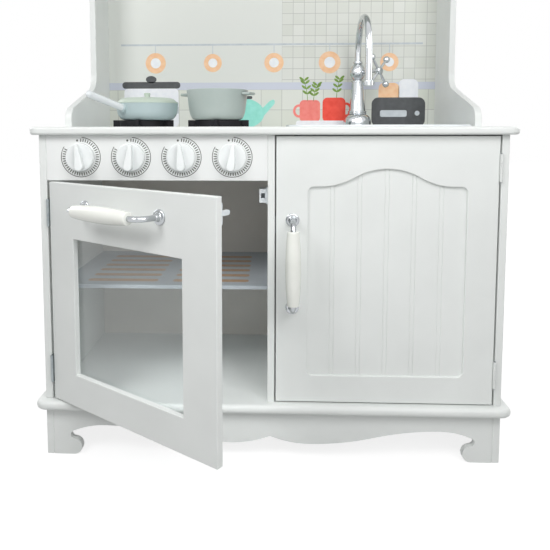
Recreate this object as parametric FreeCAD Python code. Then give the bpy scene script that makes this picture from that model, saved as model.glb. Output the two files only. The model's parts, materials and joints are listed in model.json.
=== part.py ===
import FreeCAD, Part
import math
import os

# A wooden toy kitchen: a painted cabinet with an oven door, a cupboard door, hobs with dials,
# a sink with a tap, an S-sided hutch with a printed splashback, and two pans.
# All sizes are in millimetres. X runs to the right, Y to the wall behind and Z up.
# The origin is on the floor at the middle of the wall face, so everything lies at or in front of Y = 0.
# The oven door is modelled partly open, as it stands at rest.

V = FreeCAD.Vector
UP = V(0, 0, 1)
RIGHT = V(1, 0, 0)
BACK = V(0, 1, 0)
os.makedirs("parts", exist_ok=True)

# Boards of the cabinet
BOARD = 9.0
BOARD_EASE = 1.0
WORKTOP_LENGTH = 600.0
WORKTOP_THICK = 10.0
WORKTOP_SIDE_OVERHANG = 11.0
WORKTOP_FRONT_OVERHANG = 10.0
WORKTOP_CORNER_R = 12.0
WORKTOP_NOSE_LAND = 3.0
BODY_DEPTH = 282.0
SIDE_HEIGHT = 339.5
BASE_THICK = 12.0
BASE_OVERHANG = 12.0
BASE_CORNER_R = 14.0
BASE_NOSE_LAND = 0.6
PARTITION_OFFSET = 1.1
CONTROL_HEIGHT = 57.0
BACK_PANEL_THICK = 3.0
BACK_PANEL_INSET = 30.0
GROOVE_DEPTH = 4.0
GROOVE_PLAY = 0.2
SHELF_THICK = 5.0
SHELF_HEIGHT = 141.0
SHELF_SETBACK = 36.0

# Plinth with bracket feet and a scalloped apron
PLINTH_HEIGHT = 62.5
FOOT_WIDTH = 26.5
CURL_HEIGHT = 21.0
CURL_BULGE = 10.2
NOTCH_HEIGHT = 10.5
NOTCH_TUCK = 4.5
ARCH_HEIGHT = 39.5
ARCH_CROWN_RUN = 39.0
LOBE_HEIGHT = 20.0
LOBE_OFFSET = 50.0
CUSP_HEIGHT = 29.5

# Hutch on the worktop
WING_HEIGHT = 417.0
WING_FOOT_DEPTH = 209.0
WING_NECK_DEPTH = 84.0
WING_STEP = 10.0
WING_SHOULDER_R = 18.0
WING_NECK_R = 26.0
WING_SLOPE = 17.0
HUTCH_SHELF_DROP = 132.0
TOP_THICK = 9.0
TOP_OVERHANG = 11.0
TOP_CORNER_R = 10.0
TOP_NOSE_LAND = 3.0

# Doors
DOOR_GAP = 1.5
HINGE_GAP = 2.0
OVEN_OPEN_ANGLE = 35.0
WINDOW_HINGE_STILE = 45.5
WINDOW_LATCH_STILE = 47.2
WINDOW_SILL = 41.0
WINDOW_HEAD = 68.0
PANE_THICK = 2.0
PANE_LAP = 8.0
PANE_SINK = 0.4
PANE_PLAY = 0.3
PANEL_LATCH_STILE = 39.5
PANEL_HINGE_STILE = 37.5
PANEL_RAIL = 34.5
PANEL_SHOULDER = 62.5
PANEL_ARCH_RISE = 22.0
PANEL_SHOULDER_RUN = 16.0
PANEL_CORNER_R = 7.0
PANEL_DEPTH = 3.6
BEAD_MARGIN = 30.3
BEAD_WIDTH = 5.0
BEAD_GROOVE_WIDTH = 1.0
BEAD_GROOVE_DEPTH = 0.7
BEAD_COUNT = 5

# Door hinges
HINGE_HEIGHT = 34.0
HINGE_INSET = 39.0
HINGE_LEAF_THICK = 0.8
HINGE_LEAF_DEPTH = 7.5
HINGE_BARREL_R = 1.8
HINGE_PIN_R = 1.0
HINGE_FRONT_PLAY = 0.2
KNUCKLE_PLAY = 0.2
KNUCKLE_RELIEF = 0.3
PIN_HEAD_R = 1.5
PIN_HEAD_H = 0.6
RUNNING_PLAY = 0.05

# Catches on the partition and their strikes on the doors
CATCH_PROUD = 10.4
CATCH_HEIGHT = 17.5
CATCH_DEPTH = 20.0
CATCH_PLATE_THICK = 2.0
CATCH_PLATE_HEIGHT = 21.0
CATCH_TAB = 10.0
CATCH_CLEARANCE = 1.0
CATCH_SCREW_SPREAD = 10.0
OVEN_CATCH_DROP = 18.3
CUPBOARD_CATCH_DROP = 112.0
STRIKE_PLATE_THICK = 2.5
STRIKE_PLATE_WIDTH = 13.0
STRIKE_PLATE_HEIGHT = 22.0
STRIKE_INSET = 4.0
TONGUE_THICK = 2.5
TONGUE_HEIGHT = 5.6
TONGUE_LENGTH = 15.0
TONGUE_PLAY = 0.5
TONGUE_SWING_PLAY = 2.0
STRIKE_SCREW_SPREAD = 14.0

# Bow handles with a barrel grip
HANDLE_STANDOFF = 29.0
HANDLE_ROD_R = 3.2
HANDLE_BEND_R = 17.0
ROSETTE_R = 8.5
ROSETTE_THICK = 2.2
COLLAR_R = 5.4
COLLAR_LENGTH = 8.0
GRIP_END_R = 7.2
GRIP_MID_R = 9.5
GRIP_EDGE_R = 2.2
GRIP_LENGTH = 91.0
OVEN_HANDLE_SPAN = 124.0
OVEN_HANDLE_DROP = 27.0
OVEN_HANDLE_SHIFT = -4.0
CUPBOARD_HANDLE_SPAN = 110.0
CUPBOARD_HANDLE_INSET = 20.4
CUPBOARD_HANDLE_RISE = 9.2
HANDLE_SCREW_R = 1.6
HANDLE_SCREW_HEAD_R = 3.6
HANDLE_SCREW_HEAD_H = 2.4
HANDLE_SCREW_BITE = 12.0

# Dials on the control panel
KNOB_COUNT = 4
KNOB_PITCH = 63.0
KNOB_RISE = 0.7
KNOB_R = 17.5
KNOB_THICK = 7.0
KNOB_EDGE_R = 0.8
KNOB_FACE_PLAY = 0.3
KNOB_STEM_R = 4.0
KNOB_BARB_R = 4.8
KNOB_BARB_TIP_R = 3.4
KNOB_BARB_LENGTH = 3.5
KNOB_SLIT = 1.6
RIDGE_TOP_R = 2.4
RIDGE_TOP_OFFSET = 14.0
RIDGE_FOOT_R = 5.4
RIDGE_FOOT_OFFSET = 11.0
RIDGE_HEIGHT = 11.0
RIDGE_DROP = 5.0
RIDGE_EDGE_R = 1.6
KNOB_TURNS = (9.0, -6.0, 5.0, -7.0)

# Hobs
HOB_LEFT_OFFSET = -43.0
HOB_PITCH = 109.5
HOB_SETBACK = 133.0
HOB_DISH_R = 34.0
HOB_DISH_HEIGHT = 6.0
HOB_WELL_R = 27.0
HOB_WELL_DEPTH = 3.0
HOB_CAP_R = 15.0
HOB_CAP_HEIGHT = 6.5
HOB_BAR_REACH = 44.0
HOB_BAR_INNER = 10.0
HOB_BAR_WIDTH = 5.0
HOB_HEIGHT = 9.5
HOB_BARS = 4

# Sink tub
SINK_LENGTH = 244.0
SINK_BACK_MARGIN = 68.0
SINK_SHIFT = 3.2
SINK_SETBACK = 58.0
SINK_RIM_WIDTH = 11.0
SINK_RIM_THICK = 2.5
SINK_RIM_EDGE_R = 1.0
SINK_CORNER_R = 22.0
SINK_DEPTH = 52.0
SINK_WALL = 2.0
SINK_TAPER = 7.0
SINK_FLOOR_R = 8.0
SINK_FLOOR_STEPS = 4
SINK_PLAY = 0.5

# Tap
TAP_SHIFT = -2.8
TAP_WALL_DISTANCE = 39.0
TAP_FOOT_R = 22.2
TAP_FOOT_EDGE = 2.0
TAP_BELL_HEIGHT = 20.0
TAP_BELL_TOP_R = 13.8
TAP_BELL_BULGE = 2.4
TAP_RING_R = 14.6
TAP_RING_HEIGHT = 5.0
TAP_COLUMN_FOOT_R = 13.0
TAP_COLUMN_TOP_R = 9.0
TAP_COLUMN_HEIGHT = 45.5
TAP_NECK_RING_R = 9.8
TAP_NECK_RING_HEIGHT = 2.6
TAP_BULB_R = 12.0
TAP_BULB_NECK_R = 6.4
TAP_BULB_HALF_HEIGHT = 13.4
TAP_SHANK_R = 3.0
TAP_SHANK_LENGTH = 24.0
TAP_NUT_R = 5.5
TAP_NUT_THICK = 5.0
TAP_SOCKET_DEPTH = 14.0
SPOUT_SPIGOT_R = 5.0
SPOUT_TUBE_R = 5.2
SPOUT_COLLAR_R = 7.4
SPOUT_COLLAR_HEIGHT = 3.0
SPOUT_RISE = 6.6
SPOUT_REACH = 107.0
SPOUT_DROP = 43.4
NOZZLE_R = 6.9
NOZZLE_HEIGHT = 8.4
NOZZLE_BORE_R = 3.2
NOZZLE_BORE_DEPTH = 9.0
CROSS_AZIMUTH = -45.0
CROSS_STEM_R = 3.0
CROSS_STEM_DEPTH = 7.0
CROSS_HUB_DISTANCE = 40.6
CROSS_HUB_R = 5.6
CROSS_HUB_LENGTH = 9.0
CROSS_ARM_R = 2.0
CROSS_ARM_LENGTH = 27.0
CROSS_BALL_R = 5.2
CROSS_TURN = 43.0
CROSS_ARMS = 4

# Frying pan with lid and handle, and an open saucepan
PAN_SHIFT = 6.0
PAN_FOOT_R = 36.0
PAN_SIDE_R = 42.6
PAN_SIDE_HEIGHT = 7.2
PAN_RIM_R = 44.5
PAN_HEIGHT = 24.0
PAN_WALL = 1.6
PAN_BOSS_R = 6.8
PAN_BOSS_REACH = 6.0
PAN_BOSS_HEIGHT = 15.6
PAN_HANDLE_AZIMUTH = 232.0
PAN_HANDLE_LIFT = 17.0
PAN_HANDLE_LENGTH = 60.0
PAN_HANDLE_ROOT_R = 4.7
PAN_HANDLE_END_R = 5.0
PAN_HANDLE_SPIGOT_R = 2.8
PAN_HANDLE_SPIGOT_LENGTH = 2.4
LID_LIP_THICK = 1.6
LID_WALL = 2.2
LID_SHOULDER_R = 32.0
LID_SHOULDER_HEIGHT = 7.8
LID_TOP_HEIGHT = 8.8
LID_TOP_FULLNESS = 0.75
LID_BEND_SHARE = 0.6
LID_PLUG_DEPTH = 2.5
LID_PLUG_PLAY = 0.6
LID_PLUG_WALL = 1.5
LID_KNOB_R = 4.5
LID_KNOB_NECK_R = 4.0
LID_KNOB_HEIGHT = 6.5
SAUCEPAN_SHIFT = -1.5
SAUCEPAN_FOOT_R = 35.0
SAUCEPAN_SIDE_R = 39.6
SAUCEPAN_SIDE_HEIGHT = 8.0
SAUCEPAN_RIM_R = 44.4
SAUCEPAN_HEIGHT = 43.0
EAR_AZIMUTH = -22.0
EAR_WIDTH = 22.0
EAR_REACH = 11.0
EAR_THICK = 4.0
EAR_DROP = 4.0

# Wood screws, small screws and dowels
SCREW_R = 1.75
SCREW_HEAD_R = 3.5
SCREW_HEAD_H = 2.0
SCREW_LENGTH = 28.0
SMALL_SCREW_R = 1.2
SMALL_SCREW_HEAD_R = 2.3
SMALL_SCREW_HEAD_H = 1.1
SMALL_SCREW_LENGTH = 7.0
DOWEL_R = 2.8
DOWEL_LENGTH = 20.0
DOWEL_SHORT_BITE = 5.0
HOLE_PLAY = 0.05
SCREW_END_INSET = 50.0
DOWEL_END_INSET = 90.0
WING_SCREW_INSET = 30.0
HUTCH_SCREW_INSET = 20.0
SPLASH_SCREW_INSET = 60.0
CONTROL_DOWEL_SPREAD = 36.0
PLINTH_DOWEL_DROP = 12.0

# Places worked out from the sizes above
half_body = WORKTOP_LENGTH / 2 - WORKTOP_SIDE_OVERHANG
half_inside = half_body - BOARD
front = -BODY_DEPTH
base_top = PLINTH_HEIGHT + BASE_THICK
worktop_under = base_top + SIDE_HEIGHT
worktop_top = worktop_under + WORKTOP_THICK
hutch_top = worktop_top + WING_HEIGHT
partition_left = PARTITION_OFFSET - BOARD / 2
partition_right = PARTITION_OFFSET + BOARD / 2
control_bottom = worktop_under - CONTROL_HEIGHT
back_panel_face = -BACK_PANEL_INSET - BACK_PANEL_THICK
shelf_top = base_top + SHELF_HEIGHT
oven_middle = (partition_left - half_inside) / 2
cupboard_middle = (partition_right + half_inside) / 2
hutch_shelf_under = hutch_top - HUTCH_SHELF_DROP
hinge_axis_y = front - HINGE_BARREL_R - HINGE_FRONT_PLAY
oven_axis_x = HINGE_GAP / 2 - half_inside
cupboard_axis_x = half_inside - HINGE_GAP / 2
door_bottom = base_top + DOOR_GAP
oven_door_top = control_bottom - DOOR_GAP
cupboard_door_top = worktop_under - DOOR_GAP
oven_door_left = HINGE_GAP - half_inside
oven_door_right = partition_left - DOOR_GAP
cupboard_door_left = partition_right + DOOR_GAP
cupboard_door_right = half_inside - HINGE_GAP
recess_left = cupboard_door_left + PANEL_LATCH_STILE
recess_right = cupboard_door_right - PANEL_HINGE_STILE
door_back = front + BOARD
hob_y = front + HOB_SETBACK
hob_left_x = oven_middle + HOB_LEFT_OFFSET
hob_right_x = hob_left_x + HOB_PITCH
hob_top = worktop_top + HOB_HEIGHT
sink_x = cupboard_middle + SINK_SHIFT
sink_width = BODY_DEPTH - SINK_SETBACK - SINK_BACK_MARGIN
sink_y = front + SINK_SETBACK + sink_width / 2
tap_x = cupboard_middle + TAP_SHIFT
tap_y = -TAP_WALL_DISTANCE


def block(x0, x1, y0, y1, z0, z1):
    """Plain box between two corners."""
    return Part.makeBox(x1 - x0, y1 - y0, z1 - z0, V(x0, y0, z0))


def eased_block(x0, x1, y0, y1, z0, z1):
    """Board whose edges are all slightly rounded, as sanded before painting."""
    board = block(x0, x1, y0, y1, z0, z1)
    return board.makeFillet(BOARD_EASE, board.Edges)


def cylinder(radius, start, direction, length):
    """Round bar of the given length from a start point along a direction."""
    return Part.makeCylinder(radius, length, start, direction)


def outline(start, steps):
    """Wire from a start point; a step is an end point for a line, or (middle, end) for an arc."""
    edges = []
    here = start
    for step in steps:
        if isinstance(step, tuple):
            edges.append(Part.Arc(here, step[0], step[1]).toShape())
            here = step[1]
        else:
            edges.append(Part.LineSegment(here, step).toShape())
            here = step
    return Part.Wire(edges)


def slab(wire, travel):
    """Solid swept straight from a closed wire."""
    return Part.Face(wire).extrude(travel)


def turned(steps, axis_point, axis):
    """Solid of revolution from a closed outline whose first step is its start."""
    face = Part.Face(outline(steps[0], steps[1:] + [steps[0]]))
    return face.revolve(axis_point, axis, 360)


def polar(centre, radius, degrees, z):
    """Point at a radius and an angle round a vertical line."""
    a = math.radians(degrees)
    return V(centre.x + radius * math.cos(a), centre.y + radius * math.sin(a), z)


def level_arc(start, end):
    """Middle of the arc that leaves its start level, in the plane of X and Z, and ends at the end point."""
    dx = end.x - start.x
    dz = end.z - start.z
    radius = (dx * dx + dz * dz) / (2 * abs(dz))
    half_turn = math.atan2(abs(dz), abs(dx))
    x = start.x + math.copysign(radius * math.sin(half_turn), dx)
    z = start.z + math.copysign(radius * (1 - math.cos(half_turn)), dz)
    return V(x, start.y, z)


def level_s(start, end):
    """Two arcs that make an S between two points and are level at both of them."""
    middle = (start + end) * 0.5
    return [(level_arc(start, middle), middle), (level_arc(end, middle), end)]


def corner_step(corner, along_in, along_out, radius):
    """Line and arc that round a corner reached along one direction and left along the other."""
    start = corner - along_in * radius
    end = corner + along_out * radius
    centre = start + along_out * radius
    middle = centre + (along_in - along_out).normalize() * radius
    return [start, (middle, end)]


def rounded_outline(x0, x1, y0, y1, z, front_r, back_r):
    """Level rectangle with rounded front corners and, where asked, rounded back corners."""
    left = V(-1, 0, 0)
    ahead = V(0, -1, 0)
    start = V((x0 + x1) / 2, y0, z)
    steps = corner_step(V(x1, y0, z), RIGHT, BACK, front_r)
    if back_r > 0:
        steps += corner_step(V(x1, y1, z), BACK, left, back_r)
        steps += corner_step(V(x0, y1, z), left, ahead, back_r)
    else:
        steps += [V(x1, y1, z), V(x0, y1, z)]
    steps += corner_step(V(x0, y0, z), ahead, RIGHT, front_r)
    return outline(start, steps + [start])


def nosed_board(half_length, depth, z, thick, corner_r, nose_land):
    """Board against the wall with rounded front corners and a round nose on its front and ends."""
    board = slab(rounded_outline(-half_length, half_length, -depth, 0, z, corner_r, 0), UP * thick)
    nose_r = (thick - nose_land) / 2
    rims = [e for e in board.Edges if e.BoundBox.ZLength < nose_r and e.BoundBox.YMin < -nose_r]
    return board.makeFillet(nose_r, rims)


def cut_all(shape, tools):
    """Shape with every tool that reaches it cut away."""
    for tool in tools:
        if tool.BoundBox.intersect(shape.BoundBox):
            shape = shape.cut(tool)
    return shape


def flat_head_screw(head, direction, radius, head_r, head_h, length):
    """Countersunk screw from the middle of its flat head along a direction."""
    cone = Part.makeCone(head_r, radius, head_h, head, direction)
    return cone.fuse(cylinder(radius, head, direction, length)).removeSplitter()


def wood_screw(place, play=0.0):
    """Long screw, or with some play the hole that it sits in."""
    head, direction = place
    return flat_head_screw(
        head, direction, SCREW_R + play, SCREW_HEAD_R + play, SCREW_HEAD_H + play, SCREW_LENGTH + play
    )


def small_screw(place, play=0.0):
    """Short screw of the hinges, catches and window, or with some play its hole."""
    head, direction = place
    return flat_head_screw(
        head,
        direction,
        SMALL_SCREW_R + play,
        SMALL_SCREW_HEAD_R + play,
        SMALL_SCREW_HEAD_H + play,
        SMALL_SCREW_LENGTH + play,
    )


def dowel(place, play=0.0):
    """Wooden pin that reaches a short way into one board and the rest of its length into the other."""
    joint, direction = place
    start = joint - direction * (DOWEL_SHORT_BITE + play)
    return cylinder(DOWEL_R + play, start, direction, DOWEL_LENGTH + 2 * play)


def group(shapes):
    """Separate solids that share one node."""
    return Part.makeCompound(shapes)


def panel_screw_places():
    """Head and direction of each long screw."""
    places = []
    down = UP * -1
    rows = (front + SCREW_END_INSET, back_panel_face - SCREW_END_INSET)
    for y in rows:
        for x in (BOARD / 2 - half_body, PARTITION_OFFSET, half_body - BOARD / 2):
            places.append((V(x, y, PLINTH_HEIGHT), UP))
    neck_rows = (HUTCH_SCREW_INSET - WING_NECK_DEPTH, -BOARD - HUTCH_SCREW_INSET)
    splash_rows = (
        worktop_top + SPLASH_SCREW_INSET,
        (worktop_top + hutch_shelf_under) / 2,
        hutch_shelf_under - SPLASH_SCREW_INSET,
    )
    for side in (-1, 1):
        wing_x = side * (half_inside - BOARD / 2)
        for y in (WING_SCREW_INSET - WING_FOOT_DEPTH, -BOARD - WING_SCREW_INSET):
            places.append((V(wing_x, y, worktop_under), UP))
        for y in neck_rows:
            places.append((V(wing_x, y, hutch_top + TOP_THICK), down))
            places.append((V(side * half_inside, y, hutch_shelf_under + BOARD / 2), RIGHT * -side))
        for z in splash_rows:
            places.append((V(side * half_inside, -BOARD / 2, z), RIGHT * -side))
    return places


def dowel_places():
    """Joint point and direction, into the deeper board, of each dowel."""
    places = []
    down = UP * -1
    rows = (front + DOWEL_END_INSET, back_panel_face - DOWEL_END_INSET)
    control_z = (control_bottom + worktop_under) / 2
    plinth_z = PLINTH_HEIGHT - PLINTH_DOWEL_DROP
    for y in rows:
        for x in (BOARD / 2 - half_body, PARTITION_OFFSET, half_body - BOARD / 2):
            places.append((V(x, y, worktop_under), down))
        for side in (-1, 1):
            places.append((V(side * (half_body - BOARD / 2), y, PLINTH_HEIGHT), down))
    for z in (control_z - CONTROL_DOWEL_SPREAD / 2, control_z + CONTROL_DOWEL_SPREAD / 2):
        places.append((V(-half_inside, front + BOARD / 2, z), RIGHT))
        places.append((V(partition_left, front + BOARD / 2, z), RIGHT * -1))
    for side in (-1, 1):
        for y in (front + BOARD / 2, -BOARD / 2):
            places.append((V(side * half_inside, y, plinth_z), RIGHT * -side))
    return places


def side_panel(side):
    """Side of the cabinet with a groove for the back panel."""
    x0, x1 = sorted((side * half_inside, side * half_body))
    panel = eased_block(x0, x1, front, 0, base_top, worktop_under)
    g0, g1 = sorted((side * half_inside, side * (half_inside + GROOVE_DEPTH)))
    y0 = back_panel_face - GROOVE_PLAY / 2
    return panel.cut(block(g0, g1, y0, y0 + BACK_PANEL_THICK + GROOVE_PLAY, base_top, worktop_under))


def shelf_groove(face_x, direction):
    """Cut for the end of the oven shelf in the face of an upright board."""
    x0, x1 = sorted((face_x, face_x + direction * GROOVE_DEPTH))
    z0 = shelf_top - SHELF_THICK - GROOVE_PLAY / 2
    return block(x0, x1, front + SHELF_SETBACK, back_panel_face, z0, z0 + SHELF_THICK + GROOVE_PLAY)


def oven_shelf():
    """Thin shelf held in grooves at both ends."""
    reach = GROOVE_DEPTH - GROOVE_PLAY
    return block(
        -half_inside - reach,
        partition_left + reach,
        front + SHELF_SETBACK + GROOVE_PLAY,
        back_panel_face,
        shelf_top - SHELF_THICK,
        shelf_top,
    )


def back_panel():
    """Thin back of the cabinet, standing in the grooves of the sides."""
    reach = half_inside + GROOVE_DEPTH - GROOVE_PLAY
    return block(-reach, reach, back_panel_face, -BACK_PANEL_INSET, base_top, worktop_under)


def apron_half(side):
    """Steps of the apron's lower edge from the middle cusp out to the foot on one side."""
    def at(x, z):
        return V(side * x, front, z)

    cusp = at(0, CUSP_HEIGHT)
    lobe = at(LOBE_OFFSET, LOBE_HEIGHT)
    heel = half_inside - FOOT_WIDTH
    curl_top = at(heel, CURL_HEIGHT)
    notch_top = at(heel, CURL_HEIGHT + NOTCH_HEIGHT)
    crown = at(heel - ARCH_CROWN_RUN, ARCH_HEIGHT)
    steps = [(level_arc(lobe, cusp), lobe)]
    steps += level_s(lobe, crown)
    steps += [(level_arc(crown, notch_top), notch_top)]
    steps += [(at(heel + NOTCH_TUCK, CURL_HEIGHT + NOTCH_HEIGHT / 2), curl_top)]
    steps += [(at(heel - CURL_BULGE, CURL_HEIGHT / 2), at(heel, 0))]
    return steps + [at(half_inside, 0)]


def reversed_steps(start, steps):
    """The same path walked from its end back to its start."""
    ends = [start] + [s[1] if isinstance(s, tuple) else s for s in steps]
    back = []
    for i in range(len(steps) - 1, -1, -1):
        step = steps[i]
        back.append((step[0], ends[i]) if isinstance(step, tuple) else ends[i])
    return back


def plinth_apron():
    """Front board of the plinth: a bracket foot at each end and a scalloped edge between."""
    cusp = V(0, front, CUSP_HEIGHT)
    left = apron_half(-1)
    steps = reversed_steps(cusp, left) + apron_half(1)
    steps += [V(half_inside, front, PLINTH_HEIGHT), V(-half_inside, front, PLINTH_HEIGHT)]
    start = V(-half_inside, front, 0)
    board = slab(outline(start, steps + [start]), BACK * BOARD)
    ends = [
        e
        for e in board.Edges
        if e.BoundBox.YMax < front + BOARD_EASE and e.BoundBox.ZLength > PLINTH_HEIGHT - BOARD_EASE
    ]
    return board.makeFillet(BOARD_EASE, ends)


def plinth_side(side):
    """Side board of the plinth, down to the floor."""
    x0, x1 = sorted((side * half_inside, side * half_body))
    return eased_block(x0, x1, front, 0, 0, PLINTH_HEIGHT)


def wing(side):
    """Upright of the hutch: deep at its foot, then an S up to a narrow neck."""
    slope = math.radians(WING_SLOPE)
    sweep = math.pi / 2 - slope
    x = side * half_inside
    z1 = worktop_top + WING_STEP

    def on_arc(cy, cz, radius, angle):
        return V(x, cy + radius * math.cos(angle), cz + radius * math.sin(angle))

    shoulder_y = WING_SHOULDER_R - WING_FOOT_DEPTH
    shoulder_mid = on_arc(shoulder_y, z1, WING_SHOULDER_R, math.pi - sweep / 2)
    shoulder_end = on_arc(shoulder_y, z1, WING_SHOULDER_R, math.pi - sweep)
    neck_y = -WING_NECK_DEPTH - WING_NECK_R
    neck_start_y = neck_y + WING_NECK_R * math.cos(sweep)
    rise = (neck_start_y - shoulder_end.y) * math.tan(slope)
    neck_z = shoulder_end.z + rise + WING_NECK_R * math.sin(sweep)
    steps = [
        V(x, -WING_FOOT_DEPTH, z1),
        (shoulder_mid, shoulder_end),
        V(x, neck_start_y, shoulder_end.z + rise),
        (on_arc(neck_y, neck_z, WING_NECK_R, -sweep / 2), V(x, -WING_NECK_DEPTH, neck_z)),
        V(x, -WING_NECK_DEPTH, hutch_top),
        V(x, 0, hutch_top),
        V(x, 0, worktop_top),
    ]
    start = V(x, -WING_FOOT_DEPTH, worktop_top)
    board = slab(outline(start, steps + [start]), RIGHT * (-side * BOARD))
    fronts = [e for e in board.Edges if e.BoundBox.XLength < BOARD_EASE and e.BoundBox.YMax < -BOARD]
    return board.makeFillet(BOARD_EASE, fronts)


def worktop():
    """Top board with the sink cut-out and the tap hole."""
    board = nosed_board(
        WORKTOP_LENGTH / 2,
        BODY_DEPTH + WORKTOP_FRONT_OVERHANG,
        worktop_under,
        WORKTOP_THICK,
        WORKTOP_CORNER_R,
        WORKTOP_NOSE_LAND,
    )
    hole = sink_loft(-SINK_PLAY, (worktop_top, worktop_under), 0)
    shank = cylinder(TAP_SHANK_R + HOLE_PLAY, V(tap_x, tap_y, worktop_under), UP, WORKTOP_THICK)
    return board.cut(hole).cut(shank)


def control_panel():
    """Board above the oven with a round hole for each dial."""
    panel = eased_block(-half_inside, partition_left, front, door_back, control_bottom, worktop_under)
    holes = [cylinder(KNOB_STEM_R + RUNNING_PLAY, p, BACK, BOARD) for p in knob_places()]
    return cut_all(panel, holes)


def sink_ring(inset, z):
    """Outline of the tub at a height, drawn in from the rim's outer edge."""
    half_x = SINK_LENGTH / 2 - inset
    half_y = sink_width / 2 - inset
    radius = max(SINK_CORNER_R - inset, SINK_WALL)
    return rounded_outline(
        sink_x - half_x, sink_x + half_x, sink_y - half_y, sink_y + half_y, z, radius, radius
    )


def sink_loft(extra, heights, taper):
    """Straight-sided or tapered block of the tub between a top and a bottom height."""
    top, bottom = heights
    rings = [sink_ring(SINK_RIM_WIDTH + extra, top), sink_ring(SINK_RIM_WIDTH + extra + taper, bottom)]
    return Part.makeLoft(rings, True, True)


def sink_bowl(wall, top, bottom):
    """Tapered bowl with a rounded floor edge, drawn in by a wall thickness."""
    rings = [sink_ring(SINK_RIM_WIDTH + wall, top)]
    depth = top - bottom
    for i in range(SINK_FLOOR_STEPS + 1):
        a = math.pi / 2 * i / SINK_FLOOR_STEPS
        lift = SINK_FLOOR_R * (1 - math.sin(a))
        draw = SINK_FLOOR_R * (1 - math.cos(a))
        taper = SINK_TAPER * (depth - lift) / depth
        rings.append(sink_ring(SINK_RIM_WIDTH + wall + taper + draw, bottom + lift))
    return Part.makeLoft(rings, True, True)


def sink_basin():
    """White tub that hangs by its rim in the worktop."""
    rim = slab(sink_ring(0, worktop_top), UP * SINK_RIM_THICK)
    rim_top = worktop_top + SINK_RIM_THICK
    edges = [e for e in rim.Edges if e.BoundBox.ZMin > worktop_top + SINK_RIM_THICK / 2]
    rim = rim.makeFillet(SINK_RIM_EDGE_R, edges)
    bottom = worktop_top - SINK_DEPTH
    outer = sink_bowl(0, worktop_top, bottom)
    inner = sink_bowl(SINK_WALL, rim_top, bottom + SINK_WALL)
    return rim.fuse(outer).cut(inner)


def hob(x):
    """Black moulded hob: a dish with a cap in its well and four bars that carry a pan."""
    centre = V(x, hob_y, worktop_top)
    dish = cylinder(HOB_DISH_R, centre, UP, HOB_DISH_HEIGHT)
    well = cylinder(HOB_WELL_R, centre + UP * (HOB_DISH_HEIGHT - HOB_WELL_DEPTH), UP, HOB_WELL_DEPTH)
    cap = cylinder(HOB_CAP_R, centre, UP, HOB_CAP_HEIGHT)
    shape = dish.cut(well).fuse(cap)
    bar = block(
        HOB_BAR_INNER, HOB_BAR_REACH, -HOB_BAR_WIDTH / 2, HOB_BAR_WIDTH / 2, 0, HOB_HEIGHT
    )
    for i in range(HOB_BARS):
        arm = bar.copy()
        arm.rotate(V(0, 0, 0), UP, 360 * i / HOB_BARS)
        arm.translate(centre)
        shape = shape.fuse(arm)
    return shape.removeSplitter()


def tap_levels():
    """Heights of the tap's column foot, neck, neck ring top, bulb middle and bulb top, above the worktop."""
    column_foot = TAP_BELL_HEIGHT + TAP_RING_HEIGHT
    neck = column_foot + TAP_COLUMN_HEIGHT
    ring_top = neck + TAP_NECK_RING_HEIGHT
    bulb = ring_top + TAP_BULB_HALF_HEIGHT
    return column_foot, neck, ring_top, bulb, bulb + TAP_BULB_HALF_HEIGHT


def cross_direction():
    """Level direction in which the cross handle stands out from the bulb."""
    return polar(V(0, 0, 0), 1.0, CROSS_AZIMUTH, 0)


def tap_bulb_centre():
    """Middle of the bulb at the top of the tap's column."""
    return V(tap_x, tap_y, worktop_top + tap_levels()[3])


def faucet_base():
    """Bell, column and bulb of the tap, with a shank through the worktop."""
    column_foot, neck, ring_top, bulb, bulb_top = tap_levels()

    def at(r, z):
        return V(tap_x + r, tap_y, worktop_top + z)

    bell_mid_r = (TAP_FOOT_R + TAP_BELL_TOP_R) / 2 + TAP_BELL_BULGE
    bell_mid_z = (TAP_FOOT_EDGE + TAP_BELL_HEIGHT) / 2 + TAP_BELL_BULGE
    column_mid_r = (TAP_COLUMN_FOOT_R + TAP_COLUMN_TOP_R * 2) / 3
    steps = [
        at(0, -TAP_SHANK_LENGTH),
        at(TAP_SHANK_R, -TAP_SHANK_LENGTH),
        at(TAP_SHANK_R, 0),
        at(TAP_FOOT_R, 0),
        at(TAP_FOOT_R, TAP_FOOT_EDGE),
        (at(bell_mid_r, bell_mid_z), at(TAP_BELL_TOP_R, TAP_BELL_HEIGHT)),
        at(TAP_RING_R, TAP_BELL_HEIGHT),
        at(TAP_RING_R, column_foot),
        at(TAP_COLUMN_FOOT_R, column_foot),
        (at(column_mid_r, (column_foot + neck) / 2), at(TAP_COLUMN_TOP_R, neck)),
        at(TAP_NECK_RING_R, neck),
        at(TAP_NECK_RING_R, ring_top),
        at(TAP_BULB_NECK_R, ring_top),
        (at(TAP_BULB_R, bulb), at(TAP_BULB_NECK_R, bulb_top)),
        at(0, bulb_top),
    ]
    shape = turned(steps, V(tap_x, tap_y, 0), UP)
    socket = cylinder(SPOUT_SPIGOT_R + RUNNING_PLAY, at(0, bulb_top - TAP_SOCKET_DEPTH), UP, TAP_SOCKET_DEPTH)
    bore_start = tap_bulb_centre() + cross_direction() * (TAP_BULB_R - CROSS_STEM_DEPTH)
    bore = cylinder(CROSS_STEM_R + RUNNING_PLAY, bore_start, cross_direction(), TAP_BULB_R)
    return shape.cut(socket).cut(bore)


def faucet_nut():
    """Round nut that holds the tap from under the worktop."""
    under = V(tap_x, tap_y, worktop_under - TAP_NUT_THICK)
    nut = cylinder(TAP_NUT_R, under, UP, TAP_NUT_THICK)
    return nut.cut(cylinder(TAP_SHANK_R, under, UP, TAP_NUT_THICK))


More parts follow.
